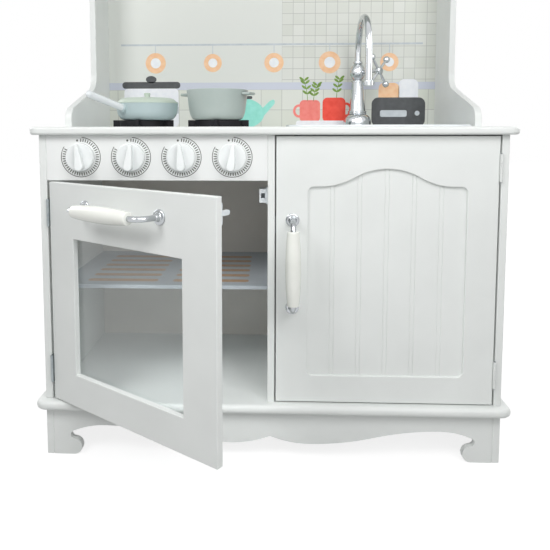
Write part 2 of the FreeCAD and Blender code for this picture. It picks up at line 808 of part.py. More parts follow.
def faucet_spout():
    """Swan-neck tube that turns in the bulb and ends in a nozzle over the sink."""
    foot = V(tap_x, tap_y, worktop_top + tap_levels()[4])
    seat = foot + UP * KNOB_FACE_PLAY
    arch_r = SPOUT_REACH / 2
    bend = seat + UP * (SPOUT_COLLAR_HEIGHT + SPOUT_RISE)
    crown = bend - BACK * arch_r + UP * arch_r
    far = bend - BACK * SPOUT_REACH
    end = far - UP * SPOUT_DROP
    path = outline(seat, [bend, (crown, far), end])
    ring = Part.Wire([Part.makeCircle(SPOUT_TUBE_R, seat, UP)])
    tube = path.makePipeShell([ring], True, False)
    spigot_length = TAP_SOCKET_DEPTH - RUNNING_PLAY
    spigot = cylinder(SPOUT_SPIGOT_R, seat - UP * spigot_length, UP, spigot_length)
    collar = cylinder(SPOUT_COLLAR_R, seat, UP, SPOUT_COLLAR_HEIGHT)
    nozzle = cylinder(NOZZLE_R, end - UP * NOZZLE_HEIGHT, UP, NOZZLE_HEIGHT)
    bore = cylinder(NOZZLE_BORE_R, end - UP * NOZZLE_HEIGHT, UP, NOZZLE_BORE_DEPTH)
    return tube.fuse([spigot, collar, nozzle]).cut(bore)


def faucet_handle():
    """Cross handle: a stem in the bulb, a hub and four ball-ended arms."""
    out = cross_direction()
    bulb = tap_bulb_centre()
    hub_middle = bulb + out * CROSS_HUB_DISTANCE
    stem_start = bulb + out * (TAP_BULB_R - CROSS_STEM_DEPTH + RUNNING_PLAY)
    stem = cylinder(CROSS_STEM_R, stem_start, out, CROSS_HUB_DISTANCE - TAP_BULB_R + CROSS_STEM_DEPTH)
    hub = cylinder(CROSS_HUB_R, hub_middle - out * (CROSS_HUB_LENGTH / 2), out, CROSS_HUB_LENGTH)
    hub = hub.makeFillet(CROSS_ARM_R, hub.Edges[:1] + hub.Edges[2:])
    shape = stem.fuse(hub)
    across = V(-out.y, out.x, 0)
    for i in range(CROSS_ARMS):
        a = math.radians(CROSS_TURN + 360 * i / CROSS_ARMS)
        along = across * math.sin(a) - UP * math.cos(a)
        arm = cylinder(CROSS_ARM_R, hub_middle, along, CROSS_ARM_LENGTH)
        tip = Part.makeSphere(CROSS_BALL_R, hub_middle + along * CROSS_ARM_LENGTH)
        shape = shape.fuse([arm, tip])
    return shape


def hinge_z_ranges(door_top):
    """Bottom of each of a door's two hinges."""
    return (door_bottom + HINGE_INSET - HINGE_HEIGHT / 2, door_top - HINGE_INSET - HINGE_HEIGHT / 2)


def knuckle_spans(z0):
    """Heights of the three knuckles: frame, door, frame."""
    third = HINGE_HEIGHT / 3
    half = KNUCKLE_PLAY / 2
    return (
        (z0, z0 + third - half),
        (z0 + third + half, z0 + 2 * third - half),
        (z0 + 2 * third + half, z0 + HINGE_HEIGHT),
    )


def hinge_leaf(axis_x, side, z0, own, other, bore_r):
    """One leaf of a butt hinge with its knuckles; side is the way from the pin to the leaf's board."""
    pin = V(axis_x, hinge_axis_y, 0)
    outer = axis_x + side * HINGE_GAP / 2
    x0, x1 = sorted((outer, outer - side * HINGE_LEAF_THICK))
    leaf = block(x0, x1, hinge_axis_y, front + HINGE_LEAF_DEPTH, z0, z0 + HINGE_HEIGHT)
    for low, high in other:
        low -= KNUCKLE_PLAY
        high += KNUCKLE_PLAY
        leaf = leaf.cut(cylinder(HINGE_BARREL_R + KNUCKLE_RELIEF, pin + UP * low, UP, high - low))
    for low, high in own:
        leaf = leaf.fuse(cylinder(HINGE_BARREL_R, pin + UP * low, UP, high - low))
    return leaf.cut(cylinder(bore_r, pin + UP * z0, UP, HINGE_HEIGHT))


def frame_leaf(axis_x, side, z0):
    """Leaf on the cabinet's side panel, with the end knuckles."""
    low, middle, high = knuckle_spans(z0)
    return hinge_leaf(axis_x, side, z0, (low, high), (middle,), HINGE_PIN_R)


def door_leaf(axis_x, side, z0):
    """Leaf on the edge of the door, with the middle knuckle."""
    low, middle, high = knuckle_spans(z0)
    return hinge_leaf(axis_x, -side, z0, (middle,), (low, high), HINGE_PIN_R + RUNNING_PLAY)


def hinge_pin(axis_x, z0):
    """Pin with a small head at each end."""
    foot = V(axis_x, hinge_axis_y, z0)
    pin = cylinder(HINGE_PIN_R, foot, UP, HINGE_HEIGHT)
    heads = [
        cylinder(PIN_HEAD_R, foot - UP * PIN_HEAD_H, UP, PIN_HEAD_H),
        cylinder(PIN_HEAD_R, foot + UP * HINGE_HEIGHT, UP, PIN_HEAD_H),
    ]
    return pin.fuse(heads)


def leaf_screw_places(axis_x, side, door_top):
    """Screws of one door's leaves: into the side panel where side points there, into the door otherwise."""
    face_x = axis_x + side * (HINGE_GAP / 2 - HINGE_LEAF_THICK)
    y = front + HINGE_LEAF_DEPTH / 2
    places = []
    for z0 in hinge_z_ranges(door_top):
        for share in (1, 3):
            places.append((V(face_x, y, z0 + HINGE_HEIGHT * share / 4), RIGHT * side))
    return places


def tongue_span(door_edge, side):
    """Left and right face of the strike's tongue; side is the way from the door's edge into the door."""
    near = door_edge + side * STRIKE_INSET
    return tuple(sorted((near, near + side * TONGUE_THICK)))


def strike(door_edge, side, z):
    """Plate on the back of a door with a round-ended tongue that enters the catch."""
    x0, x1 = tongue_span(door_edge, side)
    middle = (x0 + x1) / 2
    plate_back = door_back + STRIKE_PLATE_THICK
    half = STRIKE_PLATE_HEIGHT / 2
    p0, p1 = sorted((door_edge + side * DOOR_GAP, door_edge + side * (DOOR_GAP + STRIKE_PLATE_WIDTH)))
    plate = block(p0, p1, door_back, plate_back, z - half, z + half)
    r = TONGUE_HEIGHT / 2
    run = plate_back + TONGUE_LENGTH - r
    tongue = block(x0, x1, plate_back, run, z - r, z + r)
    tip = cylinder(r, V(middle - TONGUE_THICK / 2, run, z), RIGHT, TONGUE_THICK)
    return plate.fuse([tongue, tip]).removeSplitter()


def strike_screw_places(door_edge, side, z):
    """Two screws that hold a strike to the back of its door."""
    x = door_edge + side * (DOOR_GAP + STRIKE_PLATE_WIDTH - SMALL_SCREW_HEAD_R * 2)
    y = door_back + STRIKE_PLATE_THICK
    half = STRIKE_SCREW_SPREAD / 2
    return [(V(x, y, z - half), BACK * -1), (V(x, y, z + half), BACK * -1)]


def catch(face_x, door_edge, side, z):
    """Spring catch on a face of the partition; side is the way from the partition into the opening."""
    y0 = door_back + STRIKE_PLATE_THICK + CATCH_CLEARANCE
    y1 = y0 + CATCH_DEPTH
    half = CATCH_HEIGHT / 2
    x0, x1 = sorted((face_x, face_x + side * CATCH_PROUD))
    house = block(x0, x1, y0, y1, z - half, z + half)
    p0, p1 = sorted((face_x, face_x + side * CATCH_PLATE_THICK))
    plate_half = CATCH_PLATE_HEIGHT / 2
    plate = block(p0, p1, y0, y1 + CATCH_TAB, z - plate_half, z + plate_half)
    t0, t1 = tongue_span(door_edge, side)
    swing, play = (TONGUE_SWING_PLAY, TONGUE_PLAY) if side < 0 else (TONGUE_PLAY, TONGUE_SWING_PLAY)
    slot_half = TONGUE_HEIGHT / 2 + TONGUE_PLAY
    slot_depth = TONGUE_LENGTH - CATCH_CLEARANCE + TONGUE_SWING_PLAY
    slot = block(t0 - play, t1 + swing, y0, y0 + slot_depth, z - slot_half, z + slot_half)
    return house.fuse(plate).removeSplitter().cut(slot)


def catch_screw_places(face_x, side, z):
    """Two screws through the tab of a catch into the partition."""
    y = door_back + STRIKE_PLATE_THICK + CATCH_CLEARANCE + CATCH_DEPTH + CATCH_TAB / 2
    head_x = face_x + side * CATCH_PLATE_THICK
    half = CATCH_SCREW_SPREAD / 2
    return [(V(head_x, y, z - half), RIGHT * -side), (V(head_x, y, z + half), RIGHT * -side)]


def bow_rod(span, radius, post):
    """Round rod bent over between two posts of a given length, along X and standing out to -Y."""
    half = span / 2
    reach = HANDLE_STANDOFF - HANDLE_BEND_R
    slant = HANDLE_BEND_R * (1 - math.sqrt(0.5))
    start = V(-half, post - reach, 0)
    bends = [
        (V(slant - half, slant - HANDLE_STANDOFF, 0), V(HANDLE_BEND_R - half, -HANDLE_STANDOFF, 0)),
        V(half - HANDLE_BEND_R, -HANDLE_STANDOFF, 0),
        (V(half - slant, slant - HANDLE_STANDOFF, 0), V(half, -reach, 0)),
    ]
    steps = [V(-half, -reach, 0)] + bends + [V(half, post - reach, 0)]
    ring = Part.Wire([Part.makeCircle(radius, start, BACK)])
    return outline(start, steps).makePipeShell([ring], True, False)


def handle_bow(span):
    """Bent chrome rod on two rosettes that stand on the plane Y = 0."""
    half = span / 2
    rod = bow_rod(span, HANDLE_ROD_R, HANDLE_STANDOFF - HANDLE_BEND_R)
    ahead = BACK * -1
    for x in (-half, half):
        foot = V(x, 0, 0)
        rosette = cylinder(ROSETTE_R, foot, ahead, ROSETTE_THICK)
        rim = [e for e in rosette.Edges if e.BoundBox.YMax < -ROSETTE_THICK / 2]
        rosette = rosette.makeFillet(ROSETTE_THICK / 2, rim)
        collar = Part.makeCone(COLLAR_R, HANDLE_ROD_R, COLLAR_LENGTH, foot, ahead)
        rod = rod.fuse([rosette, collar])
    for x in (-half, half):
        rod = rod.cut(cylinder(HANDLE_SCREW_R, V(x, 0, 0), ahead, HANDLE_SCREW_BITE))
    return rod


def handle_grip(span):
    """Barrel-shaped sleeve on the straight middle of the rod."""
    half = GRIP_LENGTH / 2

    def at(x, r):
        return V(x, -HANDLE_STANDOFF + r, 0)

    steps = [
        at(-half, HANDLE_ROD_R),
        at(-half, GRIP_END_R),
        (at(0, GRIP_MID_R), at(half, GRIP_END_R)),
        at(half, HANDLE_ROD_R),
    ]
    grip = turned(steps, V(0, -HANDLE_STANDOFF, 0), RIGHT)
    ends = [
        e
        for e in grip.Edges
        if e.BoundBox.XLength < GRIP_EDGE_R and e.BoundBox.ZLength > 2 * GRIP_END_R - GRIP_EDGE_R
    ]
    grip = grip.makeFillet(GRIP_EDGE_R, ends)
    return grip.cut(bow_rod(span, HANDLE_ROD_R + HOLE_PLAY, HANDLE_ROD_R))


def handle_screws(span, play=0.0):
    """Screws from behind the door into the two posts of a handle, or with play their holes."""
    shapes = []
    ahead = BACK * -1
    for x in (-span / 2, span / 2):
        seat = V(x, BOARD, 0)
        shank = cylinder(HANDLE_SCREW_R + play, seat, ahead, BOARD + HANDLE_SCREW_BITE - HOLE_PLAY)
        head = cylinder(HANDLE_SCREW_HEAD_R, seat, BACK, HANDLE_SCREW_HEAD_H)
        shapes.append(shank if play else shank.fuse(head))
    return group(shapes)


def placed(shape, upright, place):
    """Handle part turned upright where asked and moved to its place on a door."""
    shape = shape.copy()
    if upright:
        shape.rotate(V(0, 0, 0), BACK, 90)
    shape.translate(place)
    return shape


def knob_places():
    """Middle of each dial on the front of the control panel."""
    z = (control_bottom + worktop_under) / 2 + KNOB_RISE
    first = oven_middle - KNOB_PITCH * (KNOB_COUNT - 1) / 2
    return [V(first + KNOB_PITCH * i, front, z) for i in range(KNOB_COUNT)]


def ridge_outline(y):
    """Teardrop round two circles, narrow at the top, in the plane of X and Z."""
    run = RIDGE_TOP_OFFSET + RIDGE_FOOT_OFFSET
    lean = math.asin((RIDGE_FOOT_R - RIDGE_TOP_R) / run)

    def at(z, r, sign):
        return V(sign * r * math.cos(lean), y, z + r * math.sin(lean))

    top = RIDGE_TOP_OFFSET
    foot = -RIDGE_FOOT_OFFSET
    start = at(foot, RIDGE_FOOT_R, -1)
    steps = [
        at(top, RIDGE_TOP_R, -1),
        (V(0, y, top + RIDGE_TOP_R), at(top, RIDGE_TOP_R, 1)),
        at(foot, RIDGE_FOOT_R, 1),
        (V(0, y, foot - RIDGE_FOOT_R), start),
    ]
    return outline(start, steps)


def knob(place, turn):
    """Round dial with a tapered grip ridge and a split stem that snaps through the panel."""
    ahead = BACK * -1
    back = V(0, -KNOB_FACE_PLAY, 0)
    disc = cylinder(KNOB_R, back, ahead, KNOB_THICK)
    rim = [e for e in disc.Edges if e.BoundBox.YMax < -KNOB_THICK / 2 and e.BoundBox.YLength < KNOB_EDGE_R]
    disc = disc.makeFillet(KNOB_EDGE_R, rim)
    face = -KNOB_FACE_PLAY - KNOB_THICK
    sunk = KNOB_EDGE_R * 2
    ridge = slab(ridge_outline(face + sunk), ahead * (RIDGE_HEIGHT + sunk))
    top = RIDGE_TOP_OFFSET + RIDGE_TOP_R
    foot = RIDGE_FOOT_OFFSET + RIDGE_FOOT_R
    peak = face - RIDGE_HEIGHT
    wedge = outline(
        V(-KNOB_R, peak, -foot),
        [V(-KNOB_R, peak + RIDGE_DROP, top), V(-KNOB_R, peak, top), V(-KNOB_R, peak, -foot)],
    )
    ridge = ridge.cut(slab(wedge, RIGHT * (2 * KNOB_R)))
    crest = [e for e in ridge.Edges if e.BoundBox.YMax < face - RIDGE_EDGE_R]
    ridge = ridge.makeFillet(RIDGE_EDGE_R, crest)
    stem = cylinder(KNOB_STEM_R, back, BACK, BOARD + 2 * KNOB_FACE_PLAY)
    barb = Part.makeCone(
        KNOB_BARB_R, KNOB_BARB_TIP_R, KNOB_BARB_LENGTH, V(0, BOARD + KNOB_FACE_PLAY, 0), BACK
    )
    slit_end = BOARD + KNOB_FACE_PLAY + KNOB_BARB_LENGTH
    slit = block(-KNOB_SLIT / 2, KNOB_SLIT / 2, BOARD / 2, slit_end, -KNOB_BARB_R, KNOB_BARB_R)
    shape = disc.fuse([ridge, stem.fuse(barb).cut(slit)])
    shape.rotate(V(0, 0, 0), BACK, -turn)
    shape.translate(place)
    return shape


def bowl_steps(foot_r, side_r, side_height, rim_r, height, wall):
    """Half section of a round pan from the middle of its bottom out, up and back inside."""
    bulge = (side_r - foot_r) * (1 - math.sqrt(0.5))
    dip = side_height * (1 - math.sqrt(0.5))
    outer = [
        V(0, 0, 0),
        V(foot_r, 0, 0),
        (V(side_r - bulge, 0, dip), V(side_r, 0, side_height)),
        V(rim_r, 0, height),
    ]
    inner = [
        V(rim_r - wall, 0, height),
        V(side_r - wall, 0, side_height),
        (V(side_r - bulge - wall, 0, dip + wall), V(foot_r - wall, 0, wall)),
        V(0, 0, wall),
    ]
    return outer, inner


def pan_shell(sizes, extras, place):
    """Thin round pan with solid extras joined to its outside, moved to its place."""
    outer, inner = bowl_steps(*sizes)
    height = sizes[4]
    shape = turned(outer + [V(0, 0, height)], V(0, 0, 0), UP)
    for extra in extras:
        shape = shape.fuse(extra)
    hollow = turned([V(0, 0, height)] + inner, V(0, 0, 0), UP)
    shape = shape.cut(hollow)
    shape.translate(place)
    return shape


def pan_place():
    """Where the frying pan stands, a little off the middle of the left hob."""
    return V(hob_left_x + PAN_SHIFT, hob_y, hob_top)


def pan_handle_axis():
    """Root point, from the pan's middle, and rising direction of the frying pan's handle."""
    lift = math.radians(PAN_HANDLE_LIFT)
    level = polar(V(0, 0, 0), 1.0, PAN_HANDLE_AZIMUTH, 0)
    direction = level * math.cos(lift) + UP * math.sin(lift)
    root = level * (PAN_SIDE_R - PAN_WALL) + UP * PAN_BOSS_HEIGHT
    return root, direction


def pan_body():
    """Shallow frying pan with a socket for its handle."""
    root, direction = pan_handle_axis()
    boss = cylinder(PAN_BOSS_R, root - direction * PAN_WALL, direction, PAN_BOSS_REACH + PAN_WALL)
    seat = root + direction * PAN_BOSS_REACH
    socket = cylinder(
        PAN_HANDLE_SPIGOT_R + HOLE_PLAY,
        seat - direction * (PAN_HANDLE_SPIGOT_LENGTH + HOLE_PLAY),
        direction,
        PAN_HANDLE_SPIGOT_LENGTH + HOLE_PLAY,
    )
    boss = boss.cut(socket)
    sizes = (PAN_FOOT_R, PAN_SIDE_R, PAN_SIDE_HEIGHT, PAN_RIM_R, PAN_HEIGHT, PAN_WALL)
    return pan_shell(sizes, [boss], pan_place())


def pan_handle():
    """Round tapered handle with a domed end and a spigot in the pan's socket."""
    root, direction = pan_handle_axis()
    r = PAN_HANDLE_END_R
    bevel = r * math.sqrt(0.5)
    steps = [
        V(0, 0, -PAN_HANDLE_SPIGOT_LENGTH),
        V(PAN_HANDLE_SPIGOT_R, 0, -PAN_HANDLE_SPIGOT_LENGTH),
        V(PAN_HANDLE_SPIGOT_R, 0, 0),
        V(PAN_HANDLE_ROOT_R, 0, 0),
        V(r, 0, PAN_HANDLE_LENGTH - r),
        (V(bevel, 0, PAN_HANDLE_LENGTH - r + bevel), V(0, 0, PAN_HANDLE_LENGTH)),
    ]
    shape = turned(steps, V(0, 0, 0), UP)
    shape.Placement = FreeCAD.Placement(
        pan_place() + root + direction * PAN_BOSS_REACH, FreeCAD.Rotation(UP, direction)
    )
    return shape


def lid_bend():
    """Middle height and radius of the lid's rounded shoulder, which leaves the top level and ends at the lip."""
    run = PAN_RIM_R - LID_LIP_THICK - LID_SHOULDER_R
    drop = LID_SHOULDER_HEIGHT - LID_LIP_THICK
    radius = (run ** 2 + drop ** 2) / (2 * drop)
    return LID_SHOULDER_HEIGHT - radius, radius


def lid_shoulder(radius, end_r):
    """Middle and end of the shoulder's arc, inside or outside, out to a distance from the lid's axis."""
    middle_r = LID_SHOULDER_R + (end_r - LID_SHOULDER_R) * LID_BEND_SHARE
    heights = [lid_bend()[0] + math.sqrt(radius ** 2 - (r - LID_SHOULDER_R) ** 2) for r in (middle_r, end_r)]
    return V(middle_r, 0, heights[0]), V(end_r, 0, heights[1])


def pan_lid():
    """Nearly flat lid with a rounded shoulder and a small knob, resting on the pan's rim."""
    plug_r = PAN_RIM_R - PAN_WALL - LID_PLUG_PLAY
    radius = lid_bend()[1]
    outside = lid_shoulder(radius, PAN_RIM_R - LID_LIP_THICK)
    inside = lid_shoulder(radius - LID_WALL, plug_r - LID_PLUG_WALL)
    swell = (LID_TOP_HEIGHT - LID_SHOULDER_HEIGHT) * LID_TOP_FULLNESS
    under = LID_SHOULDER_HEIGHT - LID_WALL
    knob_top = LID_TOP_HEIGHT + LID_KNOB_HEIGHT
    waist = LID_KNOB_HEIGHT / 3
    steps = [
        V(0, 0, LID_TOP_HEIGHT - LID_WALL),
        (V(LID_SHOULDER_R / 2, 0, under + swell), V(LID_SHOULDER_R, 0, under)),
        inside,
        V(plug_r - LID_PLUG_WALL, 0, -LID_PLUG_DEPTH),
        V(plug_r, 0, -LID_PLUG_DEPTH),
        V(plug_r, 0, 0),
        V(PAN_RIM_R, 0, 0),
        V(PAN_RIM_R, 0, LID_LIP_THICK),
        outside[1],
        (outside[0], V(LID_SHOULDER_R, 0, LID_SHOULDER_HEIGHT)),
        (V(LID_SHOULDER_R / 2, 0, LID_SHOULDER_HEIGHT + swell), V(LID_KNOB_NECK_R, 0, LID_TOP_HEIGHT)),
        V(LID_KNOB_NECK_R, 0, LID_TOP_HEIGHT + waist),
        V(LID_KNOB_R, 0, knob_top - waist),
        V(LID_KNOB_R, 0, knob_top),
        V(0, 0, knob_top),
    ]
    shape = turned(steps, V(0, 0, 0), UP)
    shape.translate(pan_place() + UP * PAN_HEIGHT)
    return shape


def saucepan():
    """Deep open pan with a flat ear on two sides of its rim."""
    z1 = SAUCEPAN_HEIGHT - EAR_DROP
    half = EAR_WIDTH / 2
    tip = SAUCEPAN_RIM_R + EAR_REACH
    ear = block(SAUCEPAN_SIDE_R, tip, -half, half, z1 - EAR_THICK, z1)
    corners = [e for e in ear.Edges if e.BoundBox.XMin > SAUCEPAN_RIM_R and e.BoundBox.YLength < EAR_THICK]
    ear = ear.makeFillet(EAR_REACH / 2, [e for e in corners if e.BoundBox.ZLength > EAR_THICK / 2])
    ears = []
    for turn in (EAR_AZIMUTH, EAR_AZIMUTH + 180):
        one = ear.copy()
        one.rotate(V(0, 0, 0), UP, turn)
        ears.append(one)
    sizes = (
        SAUCEPAN_FOOT_R,
        SAUCEPAN_SIDE_R,
        SAUCEPAN_SIDE_HEIGHT,
        SAUCEPAN_RIM_R,
        SAUCEPAN_HEIGHT,
        PAN_WALL,
    )
    return pan_shell(sizes, ears, V(hob_right_x + SAUCEPAN_SHIFT, hob_y, hob_top))


def oven_window_span():
    """Left, right, bottom and top of the hole in the oven door."""
    return (
        oven_door_left + WINDOW_HINGE_STILE,
        oven_door_right - WINDOW_LATCH_STILE,
        door_bottom + WINDOW_SILL,
        oven_door_top - WINDOW_HEAD,
    )


def oven_pane_box(grow, y0, y1):
    """Box of the window hole grown on all four sides, between two depths."""
    x0, x1, z0, z1 = oven_window_span()
    return block(x0 - grow, x1 + grow, y0, y1, z0 - grow, z1 + grow)


def oven_door_board():
    """Oven door with a window hole and a rebate behind it for the pane."""
    board = eased_block(oven_door_left, oven_door_right, front, door_back, door_bottom, oven_door_top)
    board = board.cut(oven_pane_box(0, front, door_back))
    x0, x1, z0, z1 = oven_window_span()
    lip = [
        e
        for e in board.Edges
        if e.BoundBox.YMax < front + BOARD_EASE / 2
        and e.BoundBox.XMin > x0 - BOARD_EASE
        and e.BoundBox.XMax < x1 + BOARD_EASE
        and e.BoundBox.ZMin > z0 - BOARD_EASE
        and e.BoundBox.ZMax < z1 + BOARD_EASE
    ]
    board = board.makeFillet(BOARD_EASE, lip)
    return board.cut(oven_pane_box(PANE_LAP, door_back - PANE_THICK - PANE_SINK, door_back))


def oven_window():
    """Clear pane in the rebate behind the oven door."""
    y0 = door_back - PANE_THICK - PANE_SINK
    return oven_pane_box(PANE_LAP - PANE_PLAY, y0, y0 + PANE_THICK)


def pane_screw_places():
    """Screws along the top and bottom of the pane."""
    x0, x1, z0, z1 = oven_window_span()
    y = door_back - PANE_SINK
    places = []
    for z in (z0 - PANE_LAP / 2, z1 + PANE_LAP / 2):
        for x in (x0, (x0 + x1) / 2, x1):
            places.append((V(x, y, z), BACK * -1))
    return places


def arched_panel_outline():
    """Recess of the cupboard door: a rectangle whose top rises in an S-sided arch between two shoulders."""
    x0 = recess_left
    x1 = recess_right
    z0 = door_bottom + PANEL_RAIL
    z1 = cupboard_door_top - PANEL_SHOULDER
    middle = (x0 + x1) / 2
    left = V(-1, 0, 0)
    down = V(0, 0, -1)
    start = V(middle, front, z0)
    peak = V(middle, front, z1 + PANEL_ARCH_RISE)
    spring_r = V(x1 - PANEL_SHOULDER_RUN, front, z1)
    spring_l = V(x0 + PANEL_SHOULDER_RUN, front, z1)
    steps = corner_step(V(x1, front, z0), RIGHT, UP, PANEL_CORNER_R)
    steps += corner_step(V(x1, front, z1), UP, left, PANEL_CORNER_R)
    steps += [spring_r] + level_s(spring_r, peak) + level_s(peak, spring_l)
    steps += corner_step(V(x0, front, z1), left, down, PANEL_CORNER_R)
    steps += corner_step(V(x0, front, z0), down, RIGHT, PANEL_CORNER_R)
    return outline(start, steps + [start])


def bead_grooves():
    """Pairs of fine V grooves that make the tongue-and-bead pattern in the recess."""
    floor = front + PANEL_DEPTH
    first = recess_left + BEAD_MARGIN
    pitch = (recess_right - BEAD_MARGIN - first) / (BEAD_COUNT - 1)
    z0 = door_bottom + PANEL_RAIL
    z1 = cupboard_door_top - PANEL_SHOULDER + PANEL_ARCH_RISE
    half = BEAD_GROOVE_WIDTH / 2
    tools = []
    for i in range(BEAD_COUNT):
        bead = first + pitch * i
        for x in (bead - BEAD_WIDTH / 2, bead + BEAD_WIDTH / 2):
            start = V(x - half, floor, z0)
            tip = V(x, floor + BEAD_GROOVE_DEPTH, z0)
            tools.append(slab(outline(start, [tip, V(x + half, floor, z0), start]), UP * (z1 - z0)))
    return tools


def cupboard_door_board():
    """Cupboard door milled from one board: an arched recess with bead grooves in its floor."""
    board = eased_block(
        cupboard_door_left, cupboard_door_right, front, door_back, door_bottom, cupboard_door_top
    )
    recess = slab(arched_panel_outline(), BACK * PANEL_DEPTH)
    board = board.cut(recess)
    inside = recess.BoundBox
    lip = [
        e
        for e in board.Edges
        if e.BoundBox.YMax < front + BOARD_EASE / 2
        and e.BoundBox.XMin > inside.XMin - BOARD_EASE
        and e.BoundBox.XMax < inside.XMax + BOARD_EASE
    ]
    board = board.makeFillet(BOARD_EASE, lip)
    grooves = [tool.common(recess_shadow()) for tool in bead_grooves()]
    return cut_all(board, grooves)


def recess_shadow():
    """The recess carried on through the board, which trims the grooves to it."""
    return slab(arched_panel_outline(), BACK * BOARD)


def oven_handle_place():
    """Middle of the oven handle on the face of its door."""
    x = (oven_door_left + oven_door_right) / 2 + OVEN_HANDLE_SHIFT
    return V(x, front, oven_door_top - OVEN_HANDLE_DROP)


def cupboard_handle_place():
    """Middle of the cupboard handle on the face of its door."""
    z = (door_bottom + cupboard_door_top) / 2 + CUPBOARD_HANDLE_RISE
    return V(cupboard_door_left + CUPBOARD_HANDLE_INSET, front, z)


def cabinet():
    """All the fixed pieces of the kitchen by name."""
    screws = panel_screw_places()
    dowels = dowel_places()
    oven_z = oven_door_top - OVEN_CATCH_DROP
    cupboard_z = cupboard_door_top - CUPBOARD_CATCH_DROP
    small = leaf_screw_places(oven_axis_x, -1, oven_door_top)
    small += leaf_screw_places(cupboard_axis_x, 1, cupboard_door_top)
    small += catch_screw_places(partition_left, -1, oven_z)
    small += catch_screw_places(partition_right, 1, cupboard_z)
    left_panel = side_panel(-1).cut(shelf_groove(-half_inside, -1))
    partition = eased_block(
        partition_left, partition_right, front, back_panel_face, base_top, worktop_under
    ).cut(shelf_groove(partition_left, 1))
    base = nosed_board(
        half_body + BASE_OVERHANG,
        BODY_DEPTH + BASE_OVERHANG,
        PLINTH_HEIGHT,
        BASE_THICK,
        BASE_CORNER_R,
        BASE_NOSE_LAND,
    )
    top = nosed_board(
        half_inside + TOP_OVERHANG,
        WING_NECK_DEPTH + TOP_OVERHANG,
        hutch_top,
        TOP_THICK,
        TOP_CORNER_R,
        TOP_NOSE_LAND,
    )
    wing_inside = half_inside - BOARD
    pieces = {
        "left_side_panel": left_panel,
        "right_side_panel": side_panel(1),
        "centre_partition": partition,
        "base_board": base,
        "worktop": worktop(),
        "back_panel": back_panel(),
        "control_panel": control_panel(),
        "oven_shelf": oven_shelf(),
        "plinth_apron": plinth_apron(),
        "plinth_left_board": plinth_side(-1),
        "plinth_right_board": plinth_side(1),
        "plinth_back_rail": block(-half_inside, half_inside, -BOARD, 0, 0, PLINTH_HEIGHT),
        "left_wing": wing(-1),
        "right_wing": wing(1),
        "splashback": block(-wing_inside, wing_inside, -BOARD, 0, worktop_top, hutch_top),
        "hutch_shelf": block(
            -wing_inside,
            wing_inside,
            BOARD_EASE - WING_NECK_DEPTH,
            -BOARD,
            hutch_shelf_under,
            hutch_shelf_under + BOARD,
        ),
        "top_board": top,
    }
    holes = [wood_screw(p, HOLE_PLAY) for p in screws]
    holes += [dowel(p, HOLE_PLAY) for p in dowels]
    holes += [small_screw(p, HOLE_PLAY) for p in small]
    pieces = {name: cut_all(shape, holes) for name, shape in pieces.items()}
    small_holes = [small_screw(p, HOLE_PLAY) for p in small]
    oven_leaves = [frame_leaf(oven_axis_x, -1, z) for z in hinge_z_ranges(oven_door_top)]
    cupboard_leaves = [frame_leaf(cupboard_axis_x, 1, z) for z in hinge_z_ranges(cupboard_door_top)]
    pins = [hinge_pin(oven_axis_x, z) for z in hinge_z_ranges(oven_door_top)]
    pins += [hinge_pin(cupboard_axis_x, z) for z in hinge_z_ranges(cupboard_door_top)]
    pieces.update(
        {
            "sink_basin": sink_basin(),
            "burner_left": hob(hob_left_x),
            "burner_right": hob(hob_right_x),
            "faucet_base": faucet_base(),
            "faucet_nut": faucet_nut(),
            "oven_catch": cut_all(catch(partition_left, oven_door_right, -1, oven_z), small_holes),
            "cupboard_catch": cut_all(
                catch(partition_right, cupboard_door_left, 1, cupboard_z), small_holes
            ),
            "oven_hinge_frame_leaves": group([cut_all(leaf, small_holes) for leaf in oven_leaves]),
            "cupboard_hinge_frame_leaves": group([cut_all(leaf, small_holes) for leaf in cupboard_leaves]),
            "hinge_pins": group(pins),
            "panel_screws": group([wood_screw(p) for p in screws]),
            "dowels": group([dowel(p) for p in dowels]),
            "frame_small_screws": group([small_screw(p) for p in small]),
        }
    )
    return pieces


def door_pieces(name, board, axis_x, side, door_top, edge, strike_z, span, handle_place, upright):
    """A door with its fittings and screws; side is the way from the pin to the cabinet's side."""
    small = leaf_screw_places(axis_x, -side, door_top) + strike_screw_places(edge, side, strike_z)
    if name == "oven":
        small += pane_screw_places()
    holes = [small_screw(p, HOLE_PLAY) for p in small]
    leaves = [door_leaf(axis_x, side, z) for z in hinge_z_ranges(door_top)]
    post_holes = placed(handle_screws(span, HOLE_PLAY), upright, handle_place)
    pieces = {
        name + "_door": cut_all(board.cut(post_holes), holes),
        name + "_handle_bow": placed(handle_bow(span), upright, handle_place),
        name + "_handle_grip": placed(handle_grip(span), upright, handle_place),
        name + "_handle_screws": placed(handle_screws(span), upright, handle_place),
        name + "_hinge_door_leaves": group([cut_all(leaf, holes) for leaf in leaves]),
        name + "_strike": cut_all(strike(edge, side, strike_z), holes),
        name + "_door_small_screws": group([small_screw(p) for p in small]),
    }
    if name == "oven":
        pieces["oven_window"] = cut_all(oven_window(), holes)
    return pieces


def oven_door_pieces():
    """The oven door's pieces, swung open to where they stand at rest."""
    pieces = door_pieces(
        "oven",
        oven_door_board(),
        oven_axis_x,
        -1,
        oven_door_top,
        oven_door_right,
        oven_door_top - OVEN_CATCH_DROP,
        OVEN_HANDLE_SPAN,
        oven_handle_place(),
        False,
    )
    for shape in pieces.values():
        shape.rotate(V(oven_axis_x, hinge_axis_y, 0), UP, -OVEN_OPEN_ANGLE)
    return pieces


